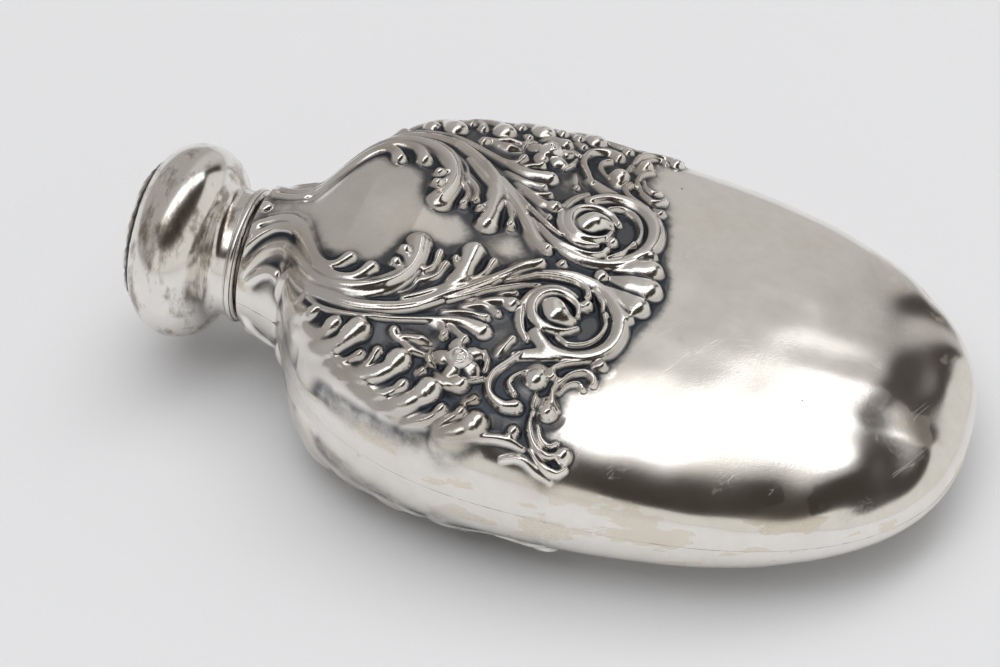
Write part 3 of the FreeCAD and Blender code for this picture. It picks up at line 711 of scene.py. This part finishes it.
@dataclass
class Cap:
    """The screw cap: a spun shell with a round bulb, an embossed disc in its crown and a ring at its rim."""

    resting: Resting
    around: int = 320
    rim: float = -0.7
    skirt: float = 10.5
    skirt_in: float = 9.8
    wall: float = 0.7
    fillet: float = 2.0
    bulb_station: float = -12.2
    bulb_ring: float = 9.4
    bulb_round: float = 6.9
    crown: float = 12.2
    crown_rise: float = 1.9
    fit_gap: float = 0.05
    edge_fade: float = 0.5
    ring_in: float = 10.55
    ring_width: float = 0.75
    ring_length: float = 2.0
    least_radius: float = 0.05
    far_from_seam: float = 99.0
    dents: Dents = Dents(height=0.006, seed=11, base_gain=0.0)

    @property
    def angle(self) -> np.ndarray:
        """Angles of the columns round the cap's axis."""
        return np.linspace(0, 2 * math.pi, self.around + 1)

    @property
    def crown_station(self) -> float:
        """Station of the crown's edge, where the bulb's outside ends."""
        return self.bulb_station - math.sqrt(self.bulb_round**2 - (self.crown - self.bulb_ring) ** 2)

    def turned(self, name: str, runs: list[Run], finish: bpy.types.Material, slot: str) -> None:
        """Turns a closed outline of smooth runs about the neck's axis, with corners where the runs meet.

        Args:
            name: the CAD node that the piece stands for.
            runs: the outline. Each run starts where the one before it ends, and the last ends where the first
                starts.
            finish: its material.
            slot: not used.
        """
        patch = Patch(f"{name}_finished")
        first = last = None
        for number, run in enumerate(runs):
            points, normals, lift = self.surface(run)
            closing = number == len(runs) - 1
            fresh = slice(min(number, 1), len(points) - 1 if closing else len(points))
            hollow = np.broadcast_to(run.hollow, points.shape[:2])
            index = np.empty(points.shape[:2], int)
            index[fresh] = patch.add(self.resting.place(points[fresh]), hollow=hollow[fresh],
                                     rise=lift[fresh], dense=0.0, seam=self.far_from_seam)
            if number:
                index[0] = last
            if closing:
                index[-1] = first
            index[:, -1] = index[:, 0]
            if not number:
                first = index[0].copy()
            for end in run.poles():
                index[end] = index[end, 0]
            last = index[-1]
            patch.quads(index, self.resting.turn(normals))
        piece = patch.build()
        piece.data.materials.append(finish)
        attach(piece, "cap")
        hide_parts(name)

    def surface(self, run: Run) -> tuple[np.ndarray, np.ndarray, np.ndarray]:
        """A run's surface round the axis.

        Args:
            run: the stretch of outline to turn.

        Returns:
            Its points, its normals from the slopes along the outline and round the axis, and its lift.
        """
        cos, sin = np.cos(self.angle), np.sin(self.angle)
        slope = np.gradient(run.outline, axis=0)
        out = unit(np.stack([slope[:, 1], -slope[:, 0]], -1))[:, None, :]
        lift = np.broadcast_to(run.lift, (len(run.outline), self.around + 1))
        section = run.outline[:, None, :] + out * lift[..., None]
        x, radius = section[..., 0], np.maximum(section[..., 1], 0)
        points = np.stack([x, radius * cos, radius * sin], -1)
        swing = np.gradient(lift, 2 * math.pi / self.around, axis=1)
        swing[:, (0, -1)] = ((lift[:, 1] - lift[:, -2]) * self.around / (4 * math.pi))[:, None]
        ring = np.stack([0 * x, -sin + 0 * x, cos + 0 * x], -1)
        towards = np.stack([0 * x + out[..., 0], out[..., 1] * cos, out[..., 1] * sin], -1)
        around = ring * np.maximum(radius, self.least_radius)[..., None] + towards * swing[..., None]
        normals = unit(np.cross(np.gradient(points, axis=0), around))
        for end in run.poles():
            normals[end] = (math.copysign(1, out[end, 0, 0]), 0, 0)
        return points, normals, lift

    def uneven(self, outline: np.ndarray) -> np.ndarray:
        """The unevenness of a run's surface, which is nothing at both its ends."""
        x, radius = outline[:, :1], outline[:, 1:]
        cos, sin = np.cos(self.angle), np.sin(self.angle)
        points = np.stack(np.broadcast_arrays(x, radius * cos, radius * sin), -1)
        share = np.linspace(0, 1, len(outline))[:, None]
        return self.dents.at(points) * smoothstep(0, 0.08, share) * smoothstep(0, 0.08, 1 - share)

    def build_shell(self, finish: bpy.types.Material) -> None:
        """The spun shell: skirt, fillet, bulb, and the same again inside."""
        centre = (self.bulb_station, self.bulb_ring)
        inner = self.bulb_round - self.wall
        fillet_ring = self.skirt + self.fillet
        far = math.sqrt((self.bulb_round + self.fillet) ** 2 - (fillet_ring - self.bulb_ring) ** 2)
        turn = (self.bulb_station + far, fillet_ring)
        share = self.bulb_round / (self.bulb_round + self.fillet)
        touch = (centre[0] + share * far, centre[1] + share * (turn[1] - centre[1]))
        crown = self.crown_station
        crown_in = self.bulb_station - math.sqrt(inner**2 - (self.crown - self.bulb_ring) ** 2)
        skirt_in = self.bulb_station + math.sqrt(inner**2 - (self.skirt_in - self.bulb_ring) ** 2)
        skin = np.vstack([
            straight((self.rim, self.skirt), (turn[0], self.skirt), 12)[:-1],
            bow(turn, self.fillet, (turn[0], self.skirt), touch, 16)[:-1],
            bow(centre, self.bulb_round, touch, (crown, self.crown), 110),
        ])
        self.turned("cap_shell", [
            Run(skin, self.uneven(skin)),
            Run(straight((crown, self.crown), (crown_in, self.crown)), hollow=0.3),
            Run(bow(centre, inner, (crown_in, self.crown), (skirt_in, self.skirt_in), 48), hollow=0.15),
            Run(straight((skirt_in, self.skirt_in), (self.rim, self.skirt_in), 3), hollow=0.15),
            Run(straight((self.rim, self.skirt_in), (self.rim, self.skirt)), hollow=0.2),
        ], finish, "silver_cap")

    def rosette(self, radius: np.ndarray) -> tuple[np.ndarray, np.ndarray]:
        """Height and hollow of the crown's embossing: petals, a beaded line and a ring of slanting leaves."""
        a = self.angle[None, :]
        r = radius[:, None]
        leaves = np.abs(np.cos(5.5 * (a + 0.05 * (r - 10)) + 0.8 * np.sin(2 * a)))
        tips = np.abs(np.cos(16.5 * a + 1.3 * (r - 10)))
        ring = np.clip(1 - ((r - 10.3) / 1.75) ** 2, 0, 1) ** 0.5 * (0.35 + 0.5 * leaves**0.7 + 0.3 * tips)
        beads = np.clip(1 - ((r - 7.7) / 0.55) ** 2, 0, 1) ** 0.5 * (0.45 + 0.25 * np.cos(44 * a))
        petals = np.clip(1 - ((r - 4.1) / 2.9) ** 2, 0, 1) ** 0.6 * np.abs(np.cos(3 * a)) ** 0.5
        heart = np.clip(1 - (r / 1.5) ** 2, 0, 1) ** 0.5
        height = 0.95 * ring + 0.6 * beads + 0.85 * petals + 1.1 * heart
        return height, 0.55 - height * 0.75

    def build_disc(self, finish: bpy.types.Material) -> None:
        """The disc: a shallow dome with a rosette, and its smooth inside."""
        edge = self.crown_station
        outer = self.crown - self.fit_gap
        dome = (outer**2 + self.crown_rise**2) / (2 * self.crown_rise)
        apex = edge - self.crown_rise
        face = bow((apex + dome, 0), dome, (edge, outer), (apex, 1e-9), 110)
        face[-1, 1] = 0
        back = bow((apex + dome + self.wall, 0), dome, (apex + self.wall, 1e-9), (edge + self.wall, outer),
                   24)
        back[0, 1] = 0
        height, hollow = self.rosette(face[:, 1])
        height = height * smoothstep(0, self.edge_fade, outer - face[:, 1:])
        self.turned("cap_top_disc", [
            Run(face, height, hollow),
            Run(straight((apex, 0), (apex + self.wall, 0))),
            Run(back, hollow=0.2),
            Run(straight((edge + self.wall, outer), (edge, outer)), hollow=0.3),
        ], finish, "silver_cap_top")

    def build_ring(self, finish: bpy.types.Material) -> None:
        """The half-round ring, with two turned lines."""
        middle = self.rim - self.ring_length / 2
        half = self.ring_length / 2
        rounding = (half**2 + self.ring_width**2) / (2 * self.ring_width)
        centre = (middle, self.ring_in + self.ring_width - rounding)
        start, end = (self.rim, self.ring_in), (self.rim - self.ring_length, self.ring_in)
        face = bow(centre, rounding, start, end, 40)
        place = (face[:, :1] - middle) / half
        lines = -0.13 * np.exp(-(((np.abs(place) - 0.5) / 0.09) ** 2))
        self.turned("cap_rim_ring", [
            Run(face, lines + 0 * self.angle, hollow=-2.2 * lines),
            Run(straight(end, start), hollow=0.3),
        ], finish, "silver_cap")


# ---------------------------------------------------------------- shader graphs
@dataclass(frozen=True)
class Wire:
    """A value in a shader graph that takes part in arithmetic."""

    graph: "Graph"
    socket: bpy.types.NodeSocket

    def __add__(self, other: "Wire | float") -> "Wire":
        return self.graph.maths("ADD", self, other)

    def __sub__(self, other: "Wire | float") -> "Wire":
        return self.graph.maths("SUBTRACT", self, other)

    def __mul__(self, other: "Wire | float") -> "Wire":
        return self.graph.maths("MULTIPLY", self, other)

    def __truediv__(self, other: "Wire | float") -> "Wire":
        return self.graph.maths("DIVIDE", self, other)

    def __pow__(self, other: "Wire | float") -> "Wire":
        return self.graph.maths("POWER", self, other)

    def __radd__(self, other: float) -> "Wire":
        return self.graph.maths("ADD", other, self)

    def __rsub__(self, other: float) -> "Wire":
        return self.graph.maths("SUBTRACT", other, self)

    def __rmul__(self, other: float) -> "Wire":
        return self.graph.maths("MULTIPLY", other, self)

    def __rtruediv__(self, other: float) -> "Wire":
        return self.graph.maths("DIVIDE", other, self)

    def __neg__(self) -> "Wire":
        return self.graph.maths("MULTIPLY", self, -1.0)

    def step(self, low: float, high: float) -> "Wire":
        """A smooth step: 0 below low and 1 above high. If low is above high it falls instead."""
        if low > high:
            return 1.0 - self.step(high, low)
        return self.graph.node("ShaderNodeMapRange", {"interpolation_type": "SMOOTHSTEP"},
                               {"Value": self, "From Min": low, "From Max": high}, "Result")

    def ridge(self, middle: float, width: float) -> "Wire":
        """1 at the middle, falling to 0 at the width on both sides."""
        return self.graph.maths("ABSOLUTE", self - middle).step(width, 0.0)


@dataclass
class Graph:
    """A node tree that is built from calls."""

    tree: bpy.types.NodeTree

    def node(self, kind: str, settings: dict[str, object] | None = None,
             inputs: dict[str | int, object] | None = None, output: str | int = 0) -> Wire | None:
        """Adds a node.

        Args:
            kind: the node's type.
            settings: its attributes.
            inputs: values or wires by socket.
            output: the socket to take.

        Returns:
            The node's output, or nothing for a node that has none.
        """
        made = self.tree.nodes.new(kind)
        for key, value in (settings or {}).items():
            setattr(made, key, value)
        for key, value in (inputs or {}).items():
            if isinstance(value, Wire):
                self.tree.links.new(value.socket, made.inputs[key])
            else:
                made.inputs[key].default_value = value
        return Wire(self, made.outputs[output]) if made.outputs else None

    def maths(self, operation: str, *values: Wire | float) -> Wire:
        """A Math node."""
        return self.node("ShaderNodeMath", {"operation": operation}, dict(enumerate(values)))

    def vector(self, operation: str, *values: object, output: str | int = 0) -> Wire:
        """A Vector Math node."""
        return self.node("ShaderNodeVectorMath", {"operation": operation}, dict(enumerate(values)), output)

    def blend(self, factor: Wire | float, a: object, b: object) -> Wire:
        """A colour mixed from a to b."""
        made = self.tree.nodes.new("ShaderNodeMix")
        made.data_type = "RGBA"
        for key, value in ((0, factor), (6, a), (7, b)):
            if isinstance(value, Wire):
                self.tree.links.new(value.socket, made.inputs[key])
            else:
                made.inputs[key].default_value = value if key == 0 else (*value, 1.0)
        return Wire(self, made.outputs[2])

    def lerp(self, factor: Wire, a: Wire | float, b: Wire | float) -> Wire:
        """A number mixed from a to b."""
        return self.node("ShaderNodeMix", {"data_type": "FLOAT"}, {0: factor, 2: a, 3: b})

    def position(self) -> Wire:
        """Where the shaded point is on the piece, in millimetres."""
        place = self.node("ShaderNodeTexCoord", output="Object")
        return self.vector("MULTIPLY", place, (1 / MM, 1 / MM, 1 / MM))

    def value_of(self, name: str) -> Wire:
        """A vertex value."""
        return self.node("ShaderNodeAttribute", {"attribute_name": name}, output="Fac")

    def noise(self, place: Wire, size: float | tuple[float, float, float], detail: float = 2.0,
              offset: float = 0.0, roughness: float = 0.5) -> Wire:
        """Noise whose features are about size millimetres, or as long on each axis."""
        sizes = size if isinstance(size, tuple) else (size, size, size)
        shifted = self.vector("ADD", self.vector("DIVIDE", place, sizes), (offset, 1.7 * offset, -offset))
        return self.node("ShaderNodeTexNoise", inputs={"Vector": shifted, "Scale": 1.0, "Detail": detail,
                                                       "Roughness": roughness})

    def hairlines(self, place: Wire, turn: tuple[float, float, float], length: float, spacing: float,
                  share: float) -> Wire:
        """Fine straight scratches along one direction: the narrow crossings of a stretched noise."""
        turned = self.node("ShaderNodeVectorRotate", {"rotation_type": "EULER_XYZ"},
                           {"Vector": place, "Rotation": turn})
        lines = self.noise(turned, (length, spacing, spacing), 0.0, sum(turn)).ridge(0.5, 0.012)
        return lines * self.noise(turned, (length * 0.7, spacing * 5, spacing * 5), 0.0, 9.0).step(
            1 - share, 1.02 - share)

    def pits(self, place: Wire, spacing: float, radius: float, share: float) -> Wire:
        """Small round marks in a share of the cells of a Voronoi pattern."""
        cells = self.tree.nodes.new("ShaderNodeTexVoronoi")
        self.tree.links.new(self.vector("DIVIDE", place, (spacing,) * 3).socket, cells.inputs["Vector"])
        cells.inputs["Scale"].default_value = 1.0
        chance = self.node("ShaderNodeSeparateColor", inputs={0: Wire(self, cells.outputs["Color"])})
        near = Wire(self, cells.outputs["Distance"]).step(radius / spacing, 0.5 * radius / spacing)
        return near * chance.step(1 - share, 1.001 - share)


class Metal(Enum):
    """Which silver surface a finish is for."""

    STRUCK = "struck"
    SPUN = "spun"
    CROWN = "crown"
    DULL = "dull"
    SOLDER = "solder"


@dataclass(frozen=True)
class SilverFinish:
    """A silver surface: polished on the high parts, dark in the hollows, stained and scratched by use."""

    metal: Metal
    tone: tuple[float, float, float] = (0.93, 0.908, 0.872)
    warm: tuple[float, float, float] = (0.90, 0.84, 0.76)
    oxide: tuple[float, float, float] = (0.055, 0.063, 0.078)
    oxide_warm: tuple[float, float, float] = (0.30, 0.245, 0.20)
    stain: tuple[float, float, float] = (0.76, 0.67, 0.53)
    pit: tuple[float, float, float] = (0.10, 0.045, 0.02)
    roughness: float = 0.115
    scratches: float = 0.55
    pitted: float = 0.03

    def scratched(self, g: Graph, place: Wire) -> Wire:
        """Fine scratches in three directions, each with its turn, length, spacing and share of the area."""
        lines = 0.0
        for turn, length, spacing, share in (((0.0, 0.2, 0.5), 30.0, 0.7, 0.3),
                                             ((0.1, 0.0, -1.1), 18.0, 0.6, 0.26),
                                             ((0.3, 0.1, 1.9), 24.0, 0.8, 0.22)):
            lines = lines + g.hairlines(place, turn, length, spacing, share)
        return lines * self.scratches

    def darkened(self, g: Graph, cloud: Wire, mottle: Wire, grain: Wire) -> tuple[Wire, Wire]:
        """How far the silver is oxidised, and how far it is tarnished.

        Args:
            g: the graph.
            cloud: broad noise.
            mottle: noise of a few millimetres.
            grain: fine noise.

        Returns:
            The oxide, in the hollows and on the ground between raised work, and the thin tarnish around it.
        """
        if self.metal in (Metal.DULL, Metal.SOLDER):
            return (mottle + 0.5 * grain).step(0.72, 0.95) * 0.7, cloud.step(0.35, 0.7) * 0.5
        hollow, dense, rise = (g.value_of(name) for name in ("hollow", "dense", "rise"))
        depth = hollow + (mottle - 0.5) * 0.16 + (grain - 0.5) * 0.07
        ground = (dense + (mottle - 0.5) * 0.3).step(0.2, 0.42) * rise.step(0.5, 0.1)
        low_work = dense.step(0.15, 0.6) * rise.step(1.7, 0.7) * (0.25 + 0.35 * cloud.step(0.35, 0.65))
        return (g.maths("MAXIMUM", depth.step(0.05, 0.34), ground * 0.9),
                g.maths("MAXIMUM", depth.step(-0.12, 0.22) * 0.35, low_work))

    def stained(self, g: Graph, place: Wire) -> Wire | float:
        """Stains: sharp-edged in a band along the seam on the struck halves, and soft on the spun cap."""
        if self.metal not in (Metal.STRUCK, Metal.SPUN):
            return 0.0
        blotch = g.noise(place, (11.0, 11.0, 4.2), 3.0, 2.4, 0.55)
        if self.metal is Metal.SPUN:
            return blotch.step(0.55, 0.7) * 0.55
        band = g.value_of("seam").step(10.0, 3.0) * g.noise(place, 30.0, 1.0, 6.0).step(0.34, 0.42)
        return blotch.step(0.565, 0.59) * band

    def material(self) -> bpy.types.Material:
        """Builds the material."""
        made = bpy.data.materials.new(f"silver_{self.metal.value}")
        made.use_nodes = True
        made.node_tree.nodes.clear()
        g = Graph(made.node_tree)
        place = g.position()
        cloud = g.noise(place, 16.0, 3.0, 1.0)
        mottle = g.noise(place, 3.2, 4.0, 3.0, 0.6)
        grain = g.noise(place, 0.35, 3.0, 5.0, 0.6)
        dark, tarnish = self.darkened(g, cloud, mottle, grain)
        lines = self.scratched(g, place) * (1.0 - dark)
        pits = g.pits(place, 2.6, 0.22, self.pitted)
        stains = self.stained(g, place)
        worn = 0.0
        if self.metal is Metal.SPUN:
            smoke = g.noise(place, (3.4, 6.5, 8.0), 4.0, 9.0, 0.62)
            tarnish = g.maths("MAXIMUM", tarnish, smoke.step(0.45, 0.68) * (0.65 + mottle * 0.6))
            worn = g.noise(place, 6.5, 1.0, 13.0) * 0.1
        colour = g.blend(cloud.step(0.4, 0.75) * 0.45, self.tone, self.warm)
        colour = g.blend(tarnish, colour, self.oxide_warm)
        colour = g.blend(stains * 0.55, colour, self.stain)
        colour = g.blend(dark, colour, self.oxide)
        colour = g.blend(pits, colour, self.pit)
        rough = self.roughness + (cloud - 0.45).step(0.0, 0.4) * 0.09 + grain * 0.04 + lines * 0.12
        rough = g.lerp(dark, rough + stains * 0.13 + tarnish * 0.1, 0.36)
        chased = g.value_of("dense").step(0.2, 0.6) * g.noise(place, 0.22, 2.0, 8.0, 0.5)
        relief = (grain * 0.005 + mottle * 0.006 + chased * 0.02 - lines * 0.006 - pits * 0.05
                  - dark * grain * 0.03 + worn) * MM
        bump = g.node("ShaderNodeBump", inputs={"Strength": 1.0, "Distance": 1.0, "Height": relief})
        shader = g.node("ShaderNodeBsdfPrincipled", inputs={"Base Color": colour, "Metallic": 1.0,
                                                            "Roughness": rough, "Normal": bump})
        g.node("ShaderNodeOutputMaterial", inputs={"Surface": shader})
        return made


@dataclass(frozen=True)
class CorkFinish:
    """Cut cork: pale and dark cells with dark pores."""

    pale: tuple[float, float, float] = (0.56, 0.37, 0.20)
    dark: tuple[float, float, float] = (0.30, 0.17, 0.08)
    pore: tuple[float, float, float] = (0.07, 0.035, 0.018)

    def material(self) -> bpy.types.Material:
        """Builds the material."""
        made = bpy.data.materials.new("cork_cut")
        made.use_nodes = True
        made.node_tree.nodes.clear()
        g = Graph(made.node_tree)
        place = g.position()
        cells = g.noise(place, 0.5, 4.0, 1.0, 0.65)
        pores = g.noise(place, (0.6, 1.6, 1.6), 2.0, 4.0).step(0.62, 0.7)
        colour = g.blend(cells.step(0.3, 0.7), self.pale, self.dark)
        colour = g.blend(pores, colour, self.pore)
        bump = g.node("ShaderNodeBump", inputs={"Strength": 1.0, "Distance": 1.0,
                                                "Height": (cells * 0.05 - pores * 0.2) * MM})
        shader = g.node("ShaderNodeBsdfPrincipled", inputs={
            "Base Color": colour, "Roughness": 0.8 - pores * 0.1, "Normal": bump})
        g.node("ShaderNodeOutputMaterial", inputs={"Surface": shader})
        return made


# ---------------------------------------------------------------- studio
@dataclass(frozen=True)
class Studio:
    """A pale table, a softbox overhead, and a room that is dark above the camera and light below it."""

    table_size: float = 6.0
    table_drop: float = 0.00004
    table_tone: tuple[float, float, float] = (0.775, 0.785, 0.81)
    softbox_height: float = 0.7
    softbox_size: tuple[float, float] = (1.4, 0.217)
    softbox_turn: float = 61.6
    softbox_along: float = 0.07
    softbox_glow: float = 1.3
    fill_size: float = 1.6
    fill_height: float = 1.2
    fill_glow: float = 1.32
    far_room: tuple[float, float, float] = (0.56, 0.545, 0.525)
    side_room: tuple[float, float, float] = (0.40, 0.385, 0.37)
    dark_room: tuple[float, float, float] = (0.045, 0.037, 0.031)
    near_room: tuple[float, float, float] = (0.70, 0.69, 0.655)

    def table(self) -> None:
        """A large plain table top."""
        half = self.table_size / 2
        corners = ((-half, -half), (half, -half), (half, half), (-half, half))
        mesh = bpy.data.meshes.new("table")
        mesh.from_pydata([(x, y, -self.table_drop) for x, y in corners], [], [(0, 1, 2, 3)])
        top = bpy.data.objects.new("table", mesh)
        bpy.context.scene.collection.objects.link(top)
        made = bpy.data.materials.new("table_top")
        made.use_nodes = True
        made.node_tree.nodes.clear()
        g = Graph(made.node_tree)
        shader = g.node("ShaderNodeBsdfPrincipled", inputs={
            "Base Color": (*self.table_tone, 1.0), "Roughness": 0.75, "Specular IOR Level": 0.2})
        g.node("ShaderNodeOutputMaterial", inputs={"Surface": shader})
        mesh.materials.append(made)

    def lamp(self, name: str, size: tuple[float, float], glow: float, place: tuple[float, float, float],
             turn: float, reflected: bool) -> None:
        """A flat lamp that faces down. Its power is its radiance times pi and its area.

        Args:
            name: the lamp's name.
            size: length and width in metres.
            glow: its radiance.
            place: its middle.
            turn: direction of its length, in degrees from the X axis.
            reflected: whether the silver reflects it.
        """
        light = bpy.data.lights.new(name, "AREA")
        light.shape = "RECTANGLE"
        light.size, light.size_y = size
        light.energy = glow * math.pi * size[0] * size[1]
        lamp = bpy.data.objects.new(name, light)
        lamp.location = place
        lamp.rotation_euler = (0, 0, math.radians(turn))
        lamp.visible_glossy = reflected
        bpy.context.scene.collection.objects.link(lamp)

    def lamps(self) -> None:
        """The long softbox overhead, and a wider light on the table that the silver doesn't reflect."""
        turn = math.radians(self.softbox_turn)
        along = self.softbox_along
        place = (along * math.cos(turn), along * math.sin(turn), self.softbox_height)
        self.lamp("softbox", self.softbox_size, self.softbox_glow, place, self.softbox_turn, True)
        square = (self.fill_size, self.fill_size)
        self.lamp("fill", square, self.fill_glow, (0, 0, self.fill_height), 0, False)

    def room(self) -> None:
        """The room, by the angle from the far horizon over the zenith to the near one."""
        world = bpy.data.worlds.new("room")
        world.use_nodes = True
        world.node_tree.nodes.clear()
        g = Graph(world.node_tree)
        way = g.node("ShaderNodeTexCoord", output="Generated")
        parts = g.tree.nodes.new("ShaderNodeSeparateXYZ")
        g.tree.links.new(way.socket, parts.inputs[0])
        x, y, z = (Wire(g, out) for out in parts.outputs)
        over = g.maths("ARCTAN2", z, y) * (180 / math.pi)
        aside = g.maths("ARCSINE", x) * (180 / math.pi)
        colour = g.blend(aside.step(-1.0, -9.0), self.far_room, self.side_room)
        colour = g.blend(aside.step(9.0, 17.0) * 0.55, colour, self.side_room)
        end = aside.step(16.0, 23.0) * aside.step(48.0, 41.0) * over.step(3.0, 12.0) * over.step(62.0, 46.0)
        colour = g.blend(end, colour, self.dark_room)
        rise = g.maths("ARCSINE", z) * (180 / math.pi)
        turn = math.radians(self.softbox_turn)
        beside = (x * math.sin(turn) - y * math.cos(turn)) / g.maths("MAXIMUM", z, 0.02)
        edge = self.softbox_size[1] / 2 / self.softbox_height
        high = (rise - 10.0 * aside.step(15.0, 45.0)).step(26.0, 31.0)
        near = g.blend(high, self.near_room, self.dark_room)
        colour = g.blend(beside.step(edge, edge + 0.08), colour, near)
        glow = g.node("ShaderNodeBackground", inputs={"Color": colour, "Strength": 1.0})
        g.node("ShaderNodeOutputWorld", inputs={"Surface": glow})
        bpy.context.scene.world = world


@dataclass(frozen=True)
class View:
    """The camera: its place from the mouth's middle in millimetres, its direction and its lens."""

    from_mouth: tuple[float, float, float] = (138.84, -297.08, 290.81)
    azimuth: float = 18.197
    elevation: float = 43.595
    roll: float = -1.979
    lens: float = 95.19

    def build(self, mouth: np.ndarray) -> None:
        """Makes the scene's camera."""
        a, e, t = (math.radians(v) for v in (self.azimuth, self.elevation, self.roll))
        forward = Vector((-math.sin(a) * math.cos(e), math.cos(a) * math.cos(e), -math.sin(e)))
        level = Vector((math.cos(a), math.sin(a), 0))
        rise = level.cross(forward)
        right = level * math.cos(t) + rise * math.sin(t)
        up = rise * math.cos(t) - level * math.sin(t)
        data = bpy.data.cameras.new("camera")
        data.lens = self.lens
        data.sensor_width = 36.0
        data.clip_start, data.clip_end = 0.01, 20.0
        data.dof.use_dof = False
        camera = bpy.data.objects.new("camera", data)
        camera.matrix_world = Matrix.Translation(Vector(mouth) + Vector(self.from_mouth) * MM) @ Matrix(
            (right, up, -forward)).transposed().to_4x4()
        bpy.context.scene.collection.objects.link(camera)
        bpy.context.scene.camera = camera


def main() -> None:
    """Builds the visual model, the studio and the camera."""
    logging.basicConfig(level=logging.INFO, format="%(name)s: %(message)s")
    resting = Resting.from_frame()
    finishes = {metal: finish.material() for metal, finish in {
        Metal.STRUCK: SilverFinish(Metal.STRUCK),
        Metal.SPUN: SilverFinish(Metal.SPUN, pitted=0.08),
        Metal.CROWN: SilverFinish(Metal.CROWN),
        Metal.DULL: SilverFinish(Metal.DULL, tone=(0.74, 0.71, 0.66), roughness=0.3),
        Metal.SOLDER: SilverFinish(Metal.SOLDER, tone=(0.88, 0.85, 0.79), roughness=0.2),
    }.items()}
    shells = HalfShells(BodyForm(), Embossing(), resting)
    for side in (1, -1):
        shells.build(side, finishes[Metal.STRUCK])
    cap = Cap(resting)
    cap.build_shell(finishes[Metal.SPUN])
    cap.build_disc(finishes[Metal.CROWN])
    cap.build_ring(finishes[Metal.SPUN])
    kept = {"seam_solder": finishes[Metal.SOLDER], "neck_thread_tube": finishes[Metal.DULL],
            "cap_thread_sleeve": finishes[Metal.DULL], "cap_cork_plate": finishes[Metal.DULL],
            "cap_cork": CorkFinish().material()}
    for name, finish in kept.items():
        mesh = frame["nodes"][name].data
        mesh.materials.clear()
        mesh.materials.append(finish)
    studio = Studio()
    studio.table()
    studio.lamps()
    studio.room()
    View().build(resting.mouth)
    bpy.context.scene.view_settings.view_transform = "Standard"


if __name__ == "__main__":
    main()
